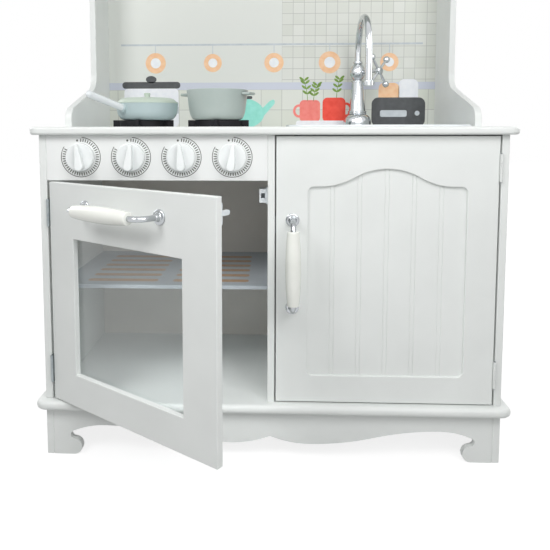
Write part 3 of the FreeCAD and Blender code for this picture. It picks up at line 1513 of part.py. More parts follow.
def cupboard_door_pieces():
    """The cupboard door's pieces, closed."""
    return door_pieces(
        "cupboard",
        cupboard_door_board(),
        cupboard_axis_x,
        1,
        cupboard_door_top,
        cupboard_door_left,
        cupboard_door_top - CUPBOARD_CATCH_DROP,
        CUPBOARD_HANDLE_SPAN,
        cupboard_handle_place(),
        True,
    )


def small_moving_pieces():
    """Dials, spout, cross handle and pans by name."""
    pieces = {}
    for i, place in enumerate(knob_places()):
        pieces["knob_%d" % (i + 1)] = knob(place, KNOB_TURNS[i % len(KNOB_TURNS)])
    pieces["faucet_spout"] = faucet_spout()
    pieces["faucet_handle"] = faucet_handle()
    pieces["pan_body"] = pan_body()
    pieces["pan_handle"] = pan_handle()
    pieces["pan_lid"] = pan_lid()
    pieces["saucepan"] = saucepan()
    return pieces


kitchen = cabinet()
kitchen.update(oven_door_pieces())
kitchen.update(cupboard_door_pieces())
kitchen.update(small_moving_pieces())
for node, shape in kitchen.items():
    shape.exportStep("parts/%s.step" % node)
    print(node, len(shape.Solids), "valid" if shape.isValid() else "NOT VALID", round(shape.Volume))
print(len(kitchen), "nodes")
print("oven hinge axis", oven_axis_x, hinge_axis_y)
print("cupboard hinge axis", cupboard_axis_x, hinge_axis_y)
print("dials", [tuple(round(c, 3) for c in p) for p in knob_places()])
print("tap axis", tap_x, tap_y, "bulb", tuple(round(c, 3) for c in tap_bulb_centre()))
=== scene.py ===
# %% [markdown]
# # A wooden toy kitchen
# The toy is a small cabinet of white painted fibreboard with an oven, a cupboard, two hobs, a sink and a tiled hutch.
# The boards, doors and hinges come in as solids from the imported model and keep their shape. This lesson gives them
# their finishes, and works out the round pieces (handles, dials, tap, pans, tub) again as smooth surfaces, because
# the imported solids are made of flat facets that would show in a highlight.

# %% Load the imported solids
import json
import math

import bpy
import numpy as np
from mathutils import Matrix, Vector


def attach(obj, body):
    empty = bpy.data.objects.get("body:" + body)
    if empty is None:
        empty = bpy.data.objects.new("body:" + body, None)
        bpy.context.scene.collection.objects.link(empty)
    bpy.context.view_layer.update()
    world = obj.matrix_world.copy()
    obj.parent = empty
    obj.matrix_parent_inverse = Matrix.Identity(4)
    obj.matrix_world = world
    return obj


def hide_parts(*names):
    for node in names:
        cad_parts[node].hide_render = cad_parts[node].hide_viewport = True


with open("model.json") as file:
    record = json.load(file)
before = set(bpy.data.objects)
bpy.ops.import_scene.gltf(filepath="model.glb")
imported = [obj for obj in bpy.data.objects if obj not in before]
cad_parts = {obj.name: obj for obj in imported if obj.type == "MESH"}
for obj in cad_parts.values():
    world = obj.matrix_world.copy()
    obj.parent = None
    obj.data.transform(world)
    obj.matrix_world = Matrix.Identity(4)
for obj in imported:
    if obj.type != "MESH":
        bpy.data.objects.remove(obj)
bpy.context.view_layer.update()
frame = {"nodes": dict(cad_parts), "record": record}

# %% [markdown]
# ## The camera
# A picture of a box fixes its camera: where the corners of the boards fall in the picture gives the lens and the
# place. The corners of this cabinet give a camera at the height of the worktop, about 0.74 m in front of the doors.
# The picture is a cut-out of a larger one, so the lens axis is not at its middle and the camera has a small shift.
# The picture's side, the focal length and the axis are in pixels, the stand in mm.

# %% Camera
MM = 0.001
PICTURE, SENSOR = 550, 36.0
FOCAL = 600.44
AXIS_X, AXIS_Y = 243.74, 177.05
STAND = (-1.66, -1020.62, 423.52)
YAW, PITCH, ROLL = (math.radians(a) for a in (-2.4285, 4.7673, 0.0673))

lens = bpy.data.cameras.new("camera")
lens.sensor_width = SENSOR
lens.lens = FOCAL / PICTURE * lens.sensor_width
lens.shift_x = (PICTURE / 2 - AXIS_X) / PICTURE
lens.shift_y = (AXIS_Y - PICTURE / 2) / PICTURE
camera = bpy.data.objects.new("camera", lens)
aim = Matrix.Rotation(-YAW, 4, "Z") @ Matrix.Rotation(math.pi / 2 - PITCH, 4, "X") @ Matrix.Rotation(-ROLL, 4, "Z")
camera.matrix_world = Matrix.Translation(Vector(STAND) * MM) @ aim
bpy.context.scene.collection.objects.link(camera)
bpy.context.scene.camera = camera
print("lens", round(lens.lens, 1), "mm, shift", round(lens.shift_x, 3), round(lens.shift_y, 3))

# %% [markdown]
# ## Colours and nodes
# Colours are easiest to read as sRGB hex values, but a shader works in linear light, so one function converts them.
# One more function adds a shader node: it takes the node's kind, what feeds its sockets, and its settings. Two short
# ones follow: one mixes two colours, the other starts a material.

# %% Colour and node helpers
def linear(hex_code):
    """Linear RGBA of an sRGB hex value: c / 12.92 for a dark channel c, else ((c + 0.055) / 1.055) to the 2.4."""
    c = np.array([int(hex_code[i:i + 2], 16) for i in (1, 3, 5)]) / 255
    return (*np.where(c <= 0.04045, c / 12.92, ((c + 0.055) / 1.055) ** 2.4).tolist(), 1.0)


def add_node(tree, kind, feeds=None, **settings):
    """Adds a node, and feeds its sockets, by name or number, from other nodes' outputs or with plain values."""
    node = tree.nodes.new("ShaderNode" + kind)
    for key, value in settings.items():
        setattr(node, key, value)
    for socket, value in (feeds or {}).items():
        if isinstance(value, bpy.types.NodeSocket):
            tree.links.new(value, node.inputs[socket])
        else:
            node.inputs[socket].default_value = value
    return node


def mix(tree, share, first, second):
    """Colour that goes from the first to the second as the share goes from 0 to 1."""
    return add_node(tree, "Mix", {0: share, 6: first, 7: second}, data_type="RGBA").outputs[2]


def new_surface(name, **sockets):
    """New material, its node tree and its Principled shader with plain values on the named sockets."""
    material = bpy.data.materials.new(name)
    material.use_nodes = True
    shader = material.node_tree.nodes["Principled BSDF"]
    for socket, value in sockets.items():
        shader.inputs[socket.replace("_", " ")].default_value = value
    return material, material.node_tree, shader


print("mid grey", [round(c, 3) for c in linear("#808080")])

# %% [markdown]
# ## Sprayed and moulded skins
# Paint from a spray gun dries with a faint orange peel, and a moulding carries the fine grain of its steel mould. Both
# are a small noise that lifts the surface a few hundredths of a millimetre. Over a hand's width the tone and the gloss
# drift a little too. One function makes such a skin, so that each finish is one line of real sizes in millimetres.

# %% Skins
NOISE_RANGE = {"From Min": 0.3, "From Max": 0.7}


def noise(tree, place, size, detail):
    """Noise value between 0 and 1 whose lumps are about `size` mm across."""
    return add_node(tree, "TexNoise", {"Vector": place, "Scale": 1 / (size * MM), "Detail": detail}).outputs["Fac"]


def lift_surface(tree, shader, height, lift):
    """Feeds the shader's normal with a bump that lifts the surface by up to `lift` mm."""
    bump = add_node(tree, "Bump", {"Height": height, "Distance": lift * MM})
    tree.links.new(bump.outputs["Normal"], shader.inputs["Normal"])


def skin(name, light, dark, patch, grain, lift, gloss, **sockets):
    """Material whose colour drifts from light to dark and whose roughness drifts over the pair `gloss` by a noise of
    `patch` mm, while a noise of `grain` mm lifts the surface by `lift` mm."""
    material, tree, shader = new_surface(name, **sockets)
    place = add_node(tree, "TexCoord").outputs["Object"]
    drift = noise(tree, place, patch, 3.0)
    share = add_node(tree, "MapRange", {"Value": drift, **NOISE_RANGE}).outputs["Result"]
    tree.links.new(mix(tree, share, linear(light), linear(dark)), shader.inputs["Base Color"])
    polish = {"Value": drift, **NOISE_RANGE, "To Min": gloss[0], "To Max": gloss[1]}
    tree.links.new(add_node(tree, "MapRange", polish).outputs["Result"], shader.inputs["Roughness"])
    lift_surface(tree, shader, noise(tree, place, grain, 2.0), lift)
    return material


finish = {
    # Satin paint sprayed on fibreboard: a soft sheen and an orange peel of about 2 mm.
    "painted_board": skin("satin paint sprayed on fibreboard", "#EBEEEC", "#E7EAE8", 60, 2.2, 0.03, (0.38, 0.48)),
    # The paint under the dials' printing, a shade lighter than on the boards.
    "printed_control_panel": skin("satin paint under print", "#EFF1F0", "#EBEDEC", 60, 2.2, 0.03, (0.36, 0.44)),
    # Polystyrene moulded in a polished tool: bright, glassy and only just uneven.
    "white_plastic": skin("polystyrene from a polished mould", "#E9EEF0", "#E4E9EC", 30, 6, 0.02, (0.16, 0.26)),
    # Gloss ABS of the dials: whiter than the paint round them, with a wet highlight.
    "knob_plastic": skin("gloss white ABS, moulded", "#F2F5F5", "#EDF1F1", 20, 5, 0.02, (0.18, 0.28)),
    # Gloss ABS of the grips, a shade towards cream.
    "cream_grip": skin("gloss cream ABS, moulded", "#F7F8F2", "#F1F3EC", 25, 6, 0.02, (0.14, 0.24)),
    # Polypropylene with a spark-eroded grain, drawn at 0.8 mm so that it just shows.
    "black_plastic": skin("black polypropylene, spark grain", "#1C1D20", "#151618", 18, 0.8, 0.05, (0.45, 0.60),
                          Specular_IOR_Level=0.2),
    # Milky nylon of the catches.
    "catch_plastic": skin("milky nylon, moulded", "#E4E9EC", "#DBE1E5", 12, 1.5, 0.02, (0.35, 0.45)),
    # Stoved enamel on pressed steel: even colour, low sheen, a faint flow texture of 4 mm.
    "sage_enamel": skin("sage stoved enamel", "#B4C4C6", "#ABBDBF", 40, 4, 0.03, (0.30, 0.42)),
    "lid_enamel": skin("pale green stoved enamel", "#C9D6C9", "#C1CFC2", 40, 4, 0.03, (0.30, 0.42)),
    "grey_enamel": skin("grey stoved enamel", "#B2BDB9", "#A9B5B1", 40, 4, 0.03, (0.32, 0.44)),
    # Zinc plate with a blue passivate: a cool grey metal, dulled in the bath.
    "zinc_steel": skin("blue passivated zinc plate", "#A3AAAC", "#8F979A", 6, 0.7, 0.01, (0.28, 0.42), Metallic=1.0),
    # Chrome plate over polished zinc: a mirror with faint hand marks. Its colour is set darker than bare chrome, a
    # painted shade that stands in for the dim room it reflects.
    "chrome": skin("chrome plate, polished", "#BABDC0", "#B1B5B8", 15, 8, 0.01, (0.05, 0.10), Metallic=1.0),
    # The tap's chrome is the same plate set a little brighter than the door handles': a painted highlight for the
    # broad bright reflections on the tap.
    "tap_chrome_painted_highlight": skin("chrome plate, polished, with painted highlight", "#D2D5D8", "#C9CDD0", 15, 8, 0.01, (0.06, 0.12),
                       Metallic=1.0),
    # White paint dipped on steel: the cupboard's hinges all but vanish beside the board.
    "hinge_paint": skin("white paint dipped on steel", "#E6E9E7", "#DFE2E0", 8, 1.5, 0.02, (0.40, 0.50)),
    # The back board is a warmer, slightly darker white than the other boards: painted shade for the warm dimness
    # inside the oven.
    "back_panel_painted_shade": skin("paint on thin hardboard with painted shade", "#E6E2DC", "#E0DCD6", 50, 1.6, 0.04, (0.45, 0.55)),
}
print(len(finish), "sprayed, moulded and plated finishes")

# %% [markdown]
# ## Dowels of bare beech
# The dowels are turned from beech, a pale wood with short dark flecks along its grain. A noise squeezed across the
# grain and drawn out along it gives those flecks; nothing more is needed on pegs that only show end on.

# %% Beech
FLECKS_PER_METRE = (60, 900, 900)
beech, tree, shader = new_surface("turned beech, bare", Roughness=0.62)
place = add_node(tree, "TexCoord").outputs["Object"]
along = add_node(tree, "Mapping", {"Vector": place, "Scale": FLECKS_PER_METRE}).outputs["Vector"]
fleck = add_node(tree, "TexNoise", {"Vector": along, "Scale": 1.0, "Detail": 4.0}).outputs["Fac"]
tree.links.new(mix(tree, fleck, linear("#E0C49B"), linear("#B98F5F")), shader.inputs["Base Color"])
lift_surface(tree, shader, fleck, 0.05)
finish["bare_wood"] = beech
print("beech flecks about 1 mm across the grain")

# %% [markdown]
# ## The clear pane
# The oven window is a 2 mm sheet of cast acrylic. Acrylic bends light a little less than glass (IOR 1.49). Its colour
# and its way of passing light are the same all over, so they are plain numbers on the shader; only its polish varies,
# with faint wiping marks. It casts no shadow, since a clear pane lets the lamps' light through to the oven.

# %% Acrylic
WIPES_PER_METRE, WIPE_SLANT = (9, 9, 40), (0.0, 0.5, 0.0)
pane, tree, shader = new_surface("clear cast acrylic", Transmission_Weight=1.0, IOR=1.49)
shader.inputs["Base Color"].default_value = linear("#F4F8F8")
place = add_node(tree, "TexCoord").outputs["Object"]
slanted = {"Vector": place, "Scale": WIPES_PER_METRE, "Rotation": WIPE_SLANT}
wipe = add_node(tree, "Mapping", slanted).outputs["Vector"]
marks = add_node(tree, "TexNoise", {"Vector": wipe, "Scale": 1.0, "Detail": 4.0}).outputs["Fac"]
haze = {"Value": marks, "From Min": 0.4, "From Max": 0.8, "To Min": 0.0, "To Max": 0.05}
tree.links.new(add_node(tree, "MapRange", haze).outputs["Result"], shader.inputs["Roughness"])
finish["clear_pane"] = pane
frame["nodes"]["oven_window"].visible_shadow = False
print("acrylic pane, IOR 1.49")

# %% [markdown]
# ## The tiled splashback
# The board behind the worktop is printed with tiles: two rows of large ones, a plain lavender band, and above it small
# ones behind the tap and a plain panel behind the hobs. The board is really flat, so the tiles are a colour on it.
# A Brick texture with no offset between its rows is a tile grid, and tints each tile a little differently. The print
# is on the front face alone, which is 9 mm in front of the board's back; the edges and the back are plain paint.

# %% Tiles
LARGE_TILE, SMALL_TILE, GROUT = (34.5, 33.5), (18.2, 18.0), 1.1
BAND = (485.5, 497.5)
TILE_CORNER = (19.2, 501.9)
PRINT_DEPTH = -8.5

tiles, tree, shader = new_surface("satin paint printed with tiles", Roughness=0.4)
place = add_node(tree, "TexCoord").outputs["Object"]


def tile_grid(corner, tile, pale, warm, grout):
    """Colour of a tile grid on the X-Z plane, laid from a corner in mm, its tiles between two tints."""
    start = (-corner[0] * MM, -corner[1] * MM, 0.0)
    flat = {"Vector": place, "Rotation": (-math.pi / 2, 0.0, 0.0), "Location": start}
    laid = add_node(tree, "Mapping", flat).outputs["Vector"]
    sizes = {"Scale": 1.0, "Brick Width": tile[0] * MM, "Row Height": tile[1] * MM, "Mortar Size": GROUT / 2 * MM}
    tints = {"Color1": linear(pale), "Color2": linear(warm), "Mortar": linear(grout), "Mortar Smooth": 0.6}
    return add_node(tree, "TexBrick", {"Vector": laid, **sizes, **tints}, offset=0.0, squash=1.0).outputs["Color"]


def beyond(value, limit):
    """1 where a coordinate is past a limit in mm, else 0."""
    return add_node(tree, "Math", {0: value, 1: limit * MM}, operation="GREATER_THAN").outputs[0]


across, depth, height = add_node(tree, "SeparateXYZ", {"Vector": place}).outputs
large = tile_grid((TILE_CORNER[0], BAND[0]), LARGE_TILE, "#DFE2DB", "#D6DAD0", "#B4B6B1")
small = tile_grid(TILE_CORNER, SMALL_TILE, "#DEE0DA", "#D5D8D0", "#B6B8B3")
low_part = mix(tree, beyond(height, BAND[0]), large, linear("#CCD1DD"))
top_part = mix(tree, beyond(across, TILE_CORNER[0]), linear("#DDE0DB"), small)
printed = mix(tree, beyond(height, BAND[1]), low_part, top_part)
board = mix(tree, beyond(depth, PRINT_DEPTH), printed, linear("#E7EAE8"))
tree.links.new(board, shader.inputs["Base Color"])
lift_surface(tree, shader, noise(tree, place, 2.2, 2.0), 0.03)
finish["printed_splashback"] = tiles
print("tiles of", LARGE_TILE, "and", SMALL_TILE, "mm, band from", BAND)

# %% [markdown]
# ## Printing inks
# The dials' rings, the rack on the oven shelf and the pictures on the splashback are printed. Screen ink is a few
# hundredths of a millimetre thick and slightly mottled where the mesh of the screen let go of it.

# %% Inks and the shelf
def ink(hex_code, mottled):
    """Screen ink that drifts between two tones, with the 1 mm mottle of the screen's mesh."""
    return skin("screen ink " + hex_code[1:], hex_code, mottled, 9, 1.0, 0.01, (0.40, 0.50))


inks = {
    "charcoal": ink("#4A4B47", "#5B5C57"),
    "slate": ink("#4A4D50", "#3F4244"),
    "mint": ink("#9FE6DA", "#8FDCCD"),
    "coral": ink("#F58E84", "#EF7A70"),
    "red": ink("#F2503C", "#E8412E"),
    "leaf": ink("#7FA245", "#6C9036"),
    "white": ink("#F3F5F8", "#E9ECF2"),
    "silver": ink("#C9D0D4", "#BAC2C7"),
    "peach": ink("#F7CFA8", "#F1BF92"),
    "tan": ink("#C9AA8C", "#BD9B7A"),
}
finish["printed_shelf"] = skin("blue-grey paint under print", "#C0C7CD", "#B8BFC6", 50, 2.2, 0.03, (0.40, 0.48))
for subpart in frame["record"]["subparts"]:
    frame["nodes"][subpart["node"]].data.materials[0] = finish[subpart["material_slot"]]
# The back board takes the warmer, darker white: painted shade for the inside of the oven.
frame["nodes"]["back_panel"].data.materials[0] = finish["back_panel_painted_shade"]
for leaves in ("cupboard_hinge_frame_leaves", "cupboard_hinge_door_leaves"):
    frame["nodes"][leaves].data.materials[0] = finish["hinge_paint"]
print(len(inks), "inks; every solid has its finish")

# %% [markdown]
# ## From a grid of numbers to a piece
# Every new piece is one or more skins, each a grid of points: rows along it, columns round it. The last column joins
# the first, and where a row shrinks to one point the grid closes in a pole. Working on whole arrays keeps this fast.
# Points that share a place are welded, and the sign of the enclosed volume tells whether the faces point outwards.

# %% Grid to mesh
def weld(grid):
    """Points, four-sided and three-sided faces of one closed skin. A face takes points (i, j), (i, j+1), (i+1, j+1),
    (i+1, j); those that share a place become one, and faces that lose a side become triangles."""
    rows, cols, _ = grid.shape
    i, j = np.meshgrid(np.arange(rows - 1), np.arange(cols), indexing="ij")
    k = (j + 1) % cols
    quads = np.stack([i * cols + j, i * cols + k, (i + 1) * cols + k, (i + 1) * cols + j], -1).reshape(-1, 4)
    points = grid.reshape(-1, 3)
    _, first, where = np.unique(np.round(points, 4), axis=0, return_index=True, return_inverse=True)
    points, quads = points[first], where.reshape(-1)[quads]
    same = quads == np.roll(quads, -1, axis=1)
    lost = same.sum(1)
    fours, threes = quads[lost == 0], quads[lost == 1][~same[lost == 1]].reshape(-1, 3)
    corners = points[np.concatenate([fours[:, [0, 1, 2]], fours[:, [0, 2, 3]], threes])]
    volume = np.einsum("ij,ij->i", corners[:, 0], np.cross(corners[:, 1], corners[:, 2])).sum()
    return (points, fours, threes) if volume > 0 else (points, fours[:, ::-1], threes[:, ::-1])


def make_piece(name, skins, body, material, replaces=(), crease=35):
    """Mesh object from grids in mm, smooth but for edges sharper than `crease` degrees, riding on a body."""
    points, faces, count = [], [], 0
    for grid in skins:
        p, fours, threes = weld(grid)
        points.append(p)
        faces += (fours + count).tolist() + (threes + count).tolist()
        count += len(p)
    mesh = bpy.data.meshes.new(name)
    mesh.from_pydata(np.concatenate(points) * MM, [], faces)
    mesh.shade_smooth()
    mesh.set_sharp_from_angle(angle=math.radians(crease))
    mesh.materials.append(material)
    piece = bpy.data.objects.new(name, mesh)
    bpy.context.scene.collection.objects.link(piece)
    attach(piece, body)
    if replaces:
        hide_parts(*replaces)
    print(name, len(mesh.polygons), "faces, rides on", body)


# %% [markdown]
# ## Two ways to carry a profile
# A turned piece is a profile carried round an axis, as on a lathe. A bent rod is a circle carried along a path. Real
# edges are never sharp, so one function rounds the corners of a profile or path with short parabolas, which need no
# tangent-circle sums.

# %% Profiles, lathe and sweep
X, Y, Z = np.eye(3)


def soften(corners, reach, steps=7, closed=False):
    """Rounds a polyline: a corner P gives way to (1-s)^2 A + 2 s (1-s) P + s^2 B for s from 0 to 1, where A and B lie
    `reach` mm, or half an edge if that is less, before and after P on its two edges."""
    p = np.array(corners, float)
    before, after = np.roll(p, 1, 0), np.roll(p, -1, 0)
    if not closed:
        before[0], after[-1] = p[0], p[-1]
    r = np.broadcast_to(np.array(reach, float), len(p))[:, None]
    sides = []
    for q in (before, after):
        run = np.linalg.norm(q - p, axis=1, keepdims=True)
        sides.append((p + (q - p) * np.minimum(r, run / 2) / np.maximum(run, 1e-9))[:, None])
    s = np.linspace(0, 1, steps)[None, :, None]
    curve = (1 - s) ** 2 * sides[0] + 2 * s * (1 - s) * p[:, None] + s ** 2 * sides[1]
    return curve.reshape(-1, p.shape[1])


def through(a, m, b, steps=16):
    """Parabola from a through m, at its half way, to b: the control point is 2 m - (a + b) / 2."""
    a, m, b = (np.array(v, float) for v in (a, m, b))
    s = np.linspace(0, 1, steps)[:, None]
    return (1 - s) ** 2 * a + 2 * s * (1 - s) * (2 * m - (a + b) / 2) + s ** 2 * b


def lathe(profile, foot=(0, 0, 0), axis=Z, steps=72):
    """Turns (radius, height) pairs about an axis: foot + height * axis + radius * (cos t * u + sin t * v)."""
    axis = np.array(axis, float)
    u = np.cross(axis, X if abs(axis[0]) < 0.9 else Y)
    u /= np.linalg.norm(u)
    v = np.cross(axis, u)
    t = np.linspace(0, 2 * np.pi, steps, endpoint=False)
    ring = np.cos(t)[:, None] * u + np.sin(t)[:, None] * v
    r, h = np.array(profile, float).T
    return np.array(foot, float) + h[:, None, None] * axis + r[:, None, None] * ring


def sweep(path, radius, side, steps=28):
    """Carries a circle along a path that lies square to `side`: path + radius * (cos t * side + sin t * across), where
    across is the side crossed with the path's direction. The ends close in poles."""
    path = np.array(path, float)
    path = path[np.r_[True, np.linalg.norm(np.diff(path, axis=0), axis=1) > 1e-6]]
    way = np.gradient(path, axis=0)
    across = np.cross(side, way / np.linalg.norm(way, axis=1, keepdims=True))
    t = np.linspace(0, 2 * np.pi, steps, endpoint=False)[:, None]
    tube = path[:, None] + radius * (np.cos(t) * side + np.sin(t) * across[:, None])
    return np.concatenate([np.repeat(path[:1, None], steps, 1), tube, np.repeat(path[-1:, None], steps, 1)])


def moved(skins, matrix):
    """The same skins after a 4 by 4 matrix, in mm."""
    m = np.array(matrix)
    return [grid @ m[:3, :3].T + m[:3, 3] for grid in skins]


print("a softened corner has", len(soften([(0, 0), (1, 0), (1, 1)], 0.2)) // 3, "points")

# %% [markdown]
# ## Bow handles
# Each door has a chrome bow with a barrel-shaped plastic grip. The bow is a rod bent over at both ends, on rosettes
# with a tapered collar. The rod is a sweep along a polyline with rounded corners, and rosettes and grip are turned.
# Both handles are drawn once lying along X, then stood up for the cupboard and swung with the oven door, which rests
# open at 35 degrees.

# %% Handles
STANDOFF, ROD_R, BEND = 29.0, 3.2, 17.0
GRIP_HALF, GRIP_END_R, GRIP_MID_R, GRIP_ROUND = 45.5, 7.2, 9.5, 2.2
DOOR_FACE_Y = -282.0
OVEN_HINGE, OVEN_OPEN = (-279, -284, 0), 35
OVEN_SPAN, OVEN_HANDLE = 124.0, (-145.45, DOOR_FACE_Y, 328.5)
CUPBOARD_SPAN, CUPBOARD_HANDLE = 110.0, (27.5, DOOR_FACE_Y, 253.45)


def bow(span):
    """Rod from one rosette over to the other, standing out to -Y, and the two rosettes, turned from (radius, height)
    pairs."""
    half = span / 2
    corners = [(-half, 0, 0), (-half, -STANDOFF, 0), (half, -STANDOFF, 0), (half, 0, 0)]
    rod = sweep(soften(corners, (0, BEND, BEND, 0), 14), ROD_R, Z)
    rosette = [(0, 0), (8.5, 0), (8.5, 1.6), (7.0, 2.3), (5.2, 2.3), (4.6, 3.4), (3.4, 7.6), (0, 8.4)]
    turned = soften(rosette, (0, 0.2, 0.7, 0.6, 0.5, 0.8, 0.8, 0))
    return [rod] + [lathe(turned, (x, 0, 0), -Y, 56) for x in (-half, half)]


def grip():
    """Barrel along X whose radius swells from its ends to its middle as a parabola, with rounded ends."""
    barrel = through((GRIP_END_R, -GRIP_HALF), (GRIP_MID_R, 0), (GRIP_END_R, GRIP_HALF), 41)
    ends = [(0, -GRIP_HALF), *barrel, (0, GRIP_HALF)]
    round_off = np.r_[0, GRIP_ROUND, np.zeros(len(barrel) - 2), GRIP_ROUND, 0]
    return [lathe(soften(ends, round_off, 7), (0, -STANDOFF, 0), X, 56)]


hinge = Matrix.Translation(OVEN_HINGE)
swing = hinge @ Matrix.Rotation(math.radians(-OVEN_OPEN), 4, "Z") @ hinge.inverted()
on_oven = swing @ Matrix.Translation(OVEN_HANDLE)
on_cupboard = Matrix.Translation(CUPBOARD_HANDLE) @ Matrix.Rotation(math.pi / 2, 4, "Y")
for door, span, place in (("oven", OVEN_SPAN, on_oven), ("cupboard", CUPBOARD_SPAN, on_cupboard)):
    make_piece(door + "_bow", moved(bow(span), place), door + "_door", finish["chrome"],
               (door + "_handle_bow",))
    make_piece(door + "_grip", moved(grip(), place), door + "_door", finish["cream_grip"],
               (door + "_handle_grip",))

# %% [markdown]
# ## Dials
# A dial is a white disc with a grip ridge that is narrow at the top and wide at the foot, so that a child sees where
# it points. The disc is turned. The ridge is a teardrop round two circles: as the grid climbs, its wall goes straight
# up, rounds over, and shrinks to the line between the two circles' middles.

# %% Dials
DIAL_X, DIAL_Z, PANEL_Y = (-236.2, -173.2, -110.2, -47.2), 386.2, DOOR_FACE_Y
DIAL_TURNS = (9.0, -6.0, 5.0, -7.0)
DISC_FACE = 7.3
RIDGE_TOP, RIDGE_TOP_R, TOP_STEPS = 14.0, 2.4, 17
RIDGE_FOOT, RIDGE_FOOT_R, FOOT_STEPS = -11.0, 5.4, 27
RIDGE_ROUND = 1.6
CREST, CREST_FALL = 11.0, 5.0


def teardrop(inset, shrink=1.0):
    """Outline round a small circle at the top and a large one at the foot, both drawn in by `inset`, with their radii
    times `shrink`. The straight sides lean by the arc sine of the radii's difference over the circles' distance."""
    lean = math.asin((RIDGE_FOOT_R - RIDGE_TOP_R) / (RIDGE_TOP - RIDGE_FOOT))
    over_top = np.linspace(lean, np.pi - lean, TOP_STEPS)
    round_foot = np.linspace(np.pi - lean, 2 * np.pi + lean, FOOT_STEPS)
    a = np.r_[over_top, round_foot]
    low = np.arange(len(a)) >= TOP_STEPS
    r = (np.where(low, RIDGE_FOOT_R, RIDGE_TOP_R) - inset) * shrink
    return np.stack([r * np.cos(a), np.where(low, RIDGE_FOOT, RIDGE_TOP) + r * np.sin(a)], -1)


def ridge():
    """Ridge on the disc's face, whose crest falls evenly from the foot to the top. Its edge is a quarter round."""
    bottom, top = RIDGE_FOOT - RIDGE_FOOT_R, RIDGE_TOP + RIDGE_TOP_R

    def row(inset, shrink=1.0, below=None):
        """Outline `below` mm under the crest, or a little behind the face where that is not given."""
        p = teardrop(inset, shrink)
        crest = CREST - CREST_FALL * (p[:, 1] - bottom) / (top - bottom)
        up = np.full(len(p), -RIDGE_ROUND) if below is None else crest - below
        return np.stack([p[:, 0], -DISC_FACE - up, p[:, 1]], -1)

    rows = [row(0, 0.0), row(0)]
    for t in np.linspace(0, np.pi / 2, 8):
        rows.append(row(RIDGE_ROUND * (1 - math.cos(t)), 1.0, RIDGE_ROUND * (1 - math.sin(t))))
    return np.stack(rows + [row(RIDGE_ROUND, share, 0.0) for share in (0.5, 0.0)])


disc = soften([(0, 0.3), (17.5, 0.3), (17.5, 6.6), (16.6, DISC_FACE), (0, DISC_FACE)], (0, 0.3, 0.8, 0.8, 0))
stem = soften([(0, 0), (4.0, 0), (4.0, 9.6), (4.8, 9.6), (3.4, 12.8), (0, 12.8)], 0.2)
dial = [lathe(disc, axis=-Y), ridge(), lathe(stem, axis=Y, steps=36)]
for i, (x, turn) in enumerate(zip(DIAL_X, DIAL_TURNS), 1):
    place = Matrix.Translation((x, PANEL_Y, DIAL_Z)) @ Matrix.Rotation(math.radians(-turn), 4, "Y")
    make_piece(f"dial_{i}_knob", moved(dial, place), f"dial_{i}", finish["knob_plastic"],
               (f"knob_{i}",))

# %% [markdown]
# ## Tap
# The tap is plated: a bell foot, a double ring, a column that narrows upwards and a bulb are one turned piece. The
# swan neck is a tube along a half circle and turns in the bulb. A cross handle with four ball-ended arms stands out
# of the bulb's side. All profiles are (radius, height) pairs in mm.

# %% Tap
TAP_X, TAP_Y, TOP_Z = 140.0, -39.0, 424.0
BULB_HEIGHT = 86.5
BULB = np.array([TAP_X, TAP_Y, TOP_Z + BULB_HEIGHT])
SPOUT_R, ARCH_R, ARCH_Z, ARCH_STEPS = 5.0, 53.5, 533.8, 49
COLLAR_Z, NOZZLE_Z = 524.2, 482.0
NECK_FROM_Z, NECK_TO_Z = 511, 488.5


def ball_arc(radius, height, neck, steps=25):
    """Side of a ball between two necks: (radius * cos t, height + radius * sin t)."""
    t = np.linspace(-1, 1, steps) * math.acos(neck / radius)
    return np.stack([radius * np.cos(t), height + radius * np.sin(t)], -1)


foot = soften([(0, -24), (3, -24), (3, 0), (22.2, 0), (22.2, 2)], (0, 0.3, 0, 0.4, 0.6))
bell = through((21.9, 2.6), (20.4, 13.4), (13.8, 19.7), 20)
low_bead = [(13.8, 19.9), (14.6, 20.2), (14.6, 22.1), (13.9, 22.4)]
high_bead = [(13.9, 22.7), (14.6, 23.0), (14.6, 24.8), (13.1, 25.0)]
ring = soften(low_bead + high_bead, (0.1, 0.9, 0.9, 0.2, 0.2, 0.9, 0.9, 0.1))
column = through((13.0, 25.1), (10.33, 47.75), (9, 70.4), 24)
neck = soften([(9, 70.5), (9.8, 70.8), (9.8, 72.8), (6.4, 73.1)], (0.1, 0.7, 0.7, 0.1))
bulb = through((6.5, 73.3), (12.0, BULB_HEIGHT), (6.4, 99.9), 28)
tap_profile = np.concatenate([foot, bell, ring, column, neck, bulb, [(0, 99.9)]])
make_piece("tap_column", [lathe(tap_profile, (TAP_X, TAP_Y, TOP_Z))], "cabinet", finish["tap_chrome_painted_highlight"],
           ("faucet_base",))

t = np.linspace(0, np.pi, ARCH_STEPS)
arch = np.stack([np.full(ARCH_STEPS, TAP_X), TAP_Y - ARCH_R * (1 - np.cos(t)), ARCH_Z + ARCH_R * np.sin(t)], -1)
nozzle_y = TAP_Y - 2 * ARCH_R
neck_path = np.concatenate([[(TAP_X, TAP_Y, NECK_FROM_Z)], arch, [(TAP_X, nozzle_y, NECK_TO_Z)]])
collar = soften([(0, 0), (7.4, 0), (7.4, 3), (5.4, 3.6), (0, 3.6)], (0, 0.6, 0.8, 0.3, 0))
nozzle_corners = [(0, 8.4), (6.0, 8.4), (6.9, 7.0), (6.9, 0), (3.2, 0), (3.2, 6), (0, 6)]
nozzle = soften(nozzle_corners, (0, 0.6, 0.8, 0.5, 0.5, 0.3, 0))
spout = [sweep(neck_path, SPOUT_R, X), lathe(collar, (TAP_X, TAP_Y, COLLAR_Z)),
         lathe(nozzle, (TAP_X, nozzle_y, NOZZLE_Z), steps=48)]
make_piece("tap_spout", spout, "spout", finish["tap_chrome_painted_highlight"], ("faucet_spout",))

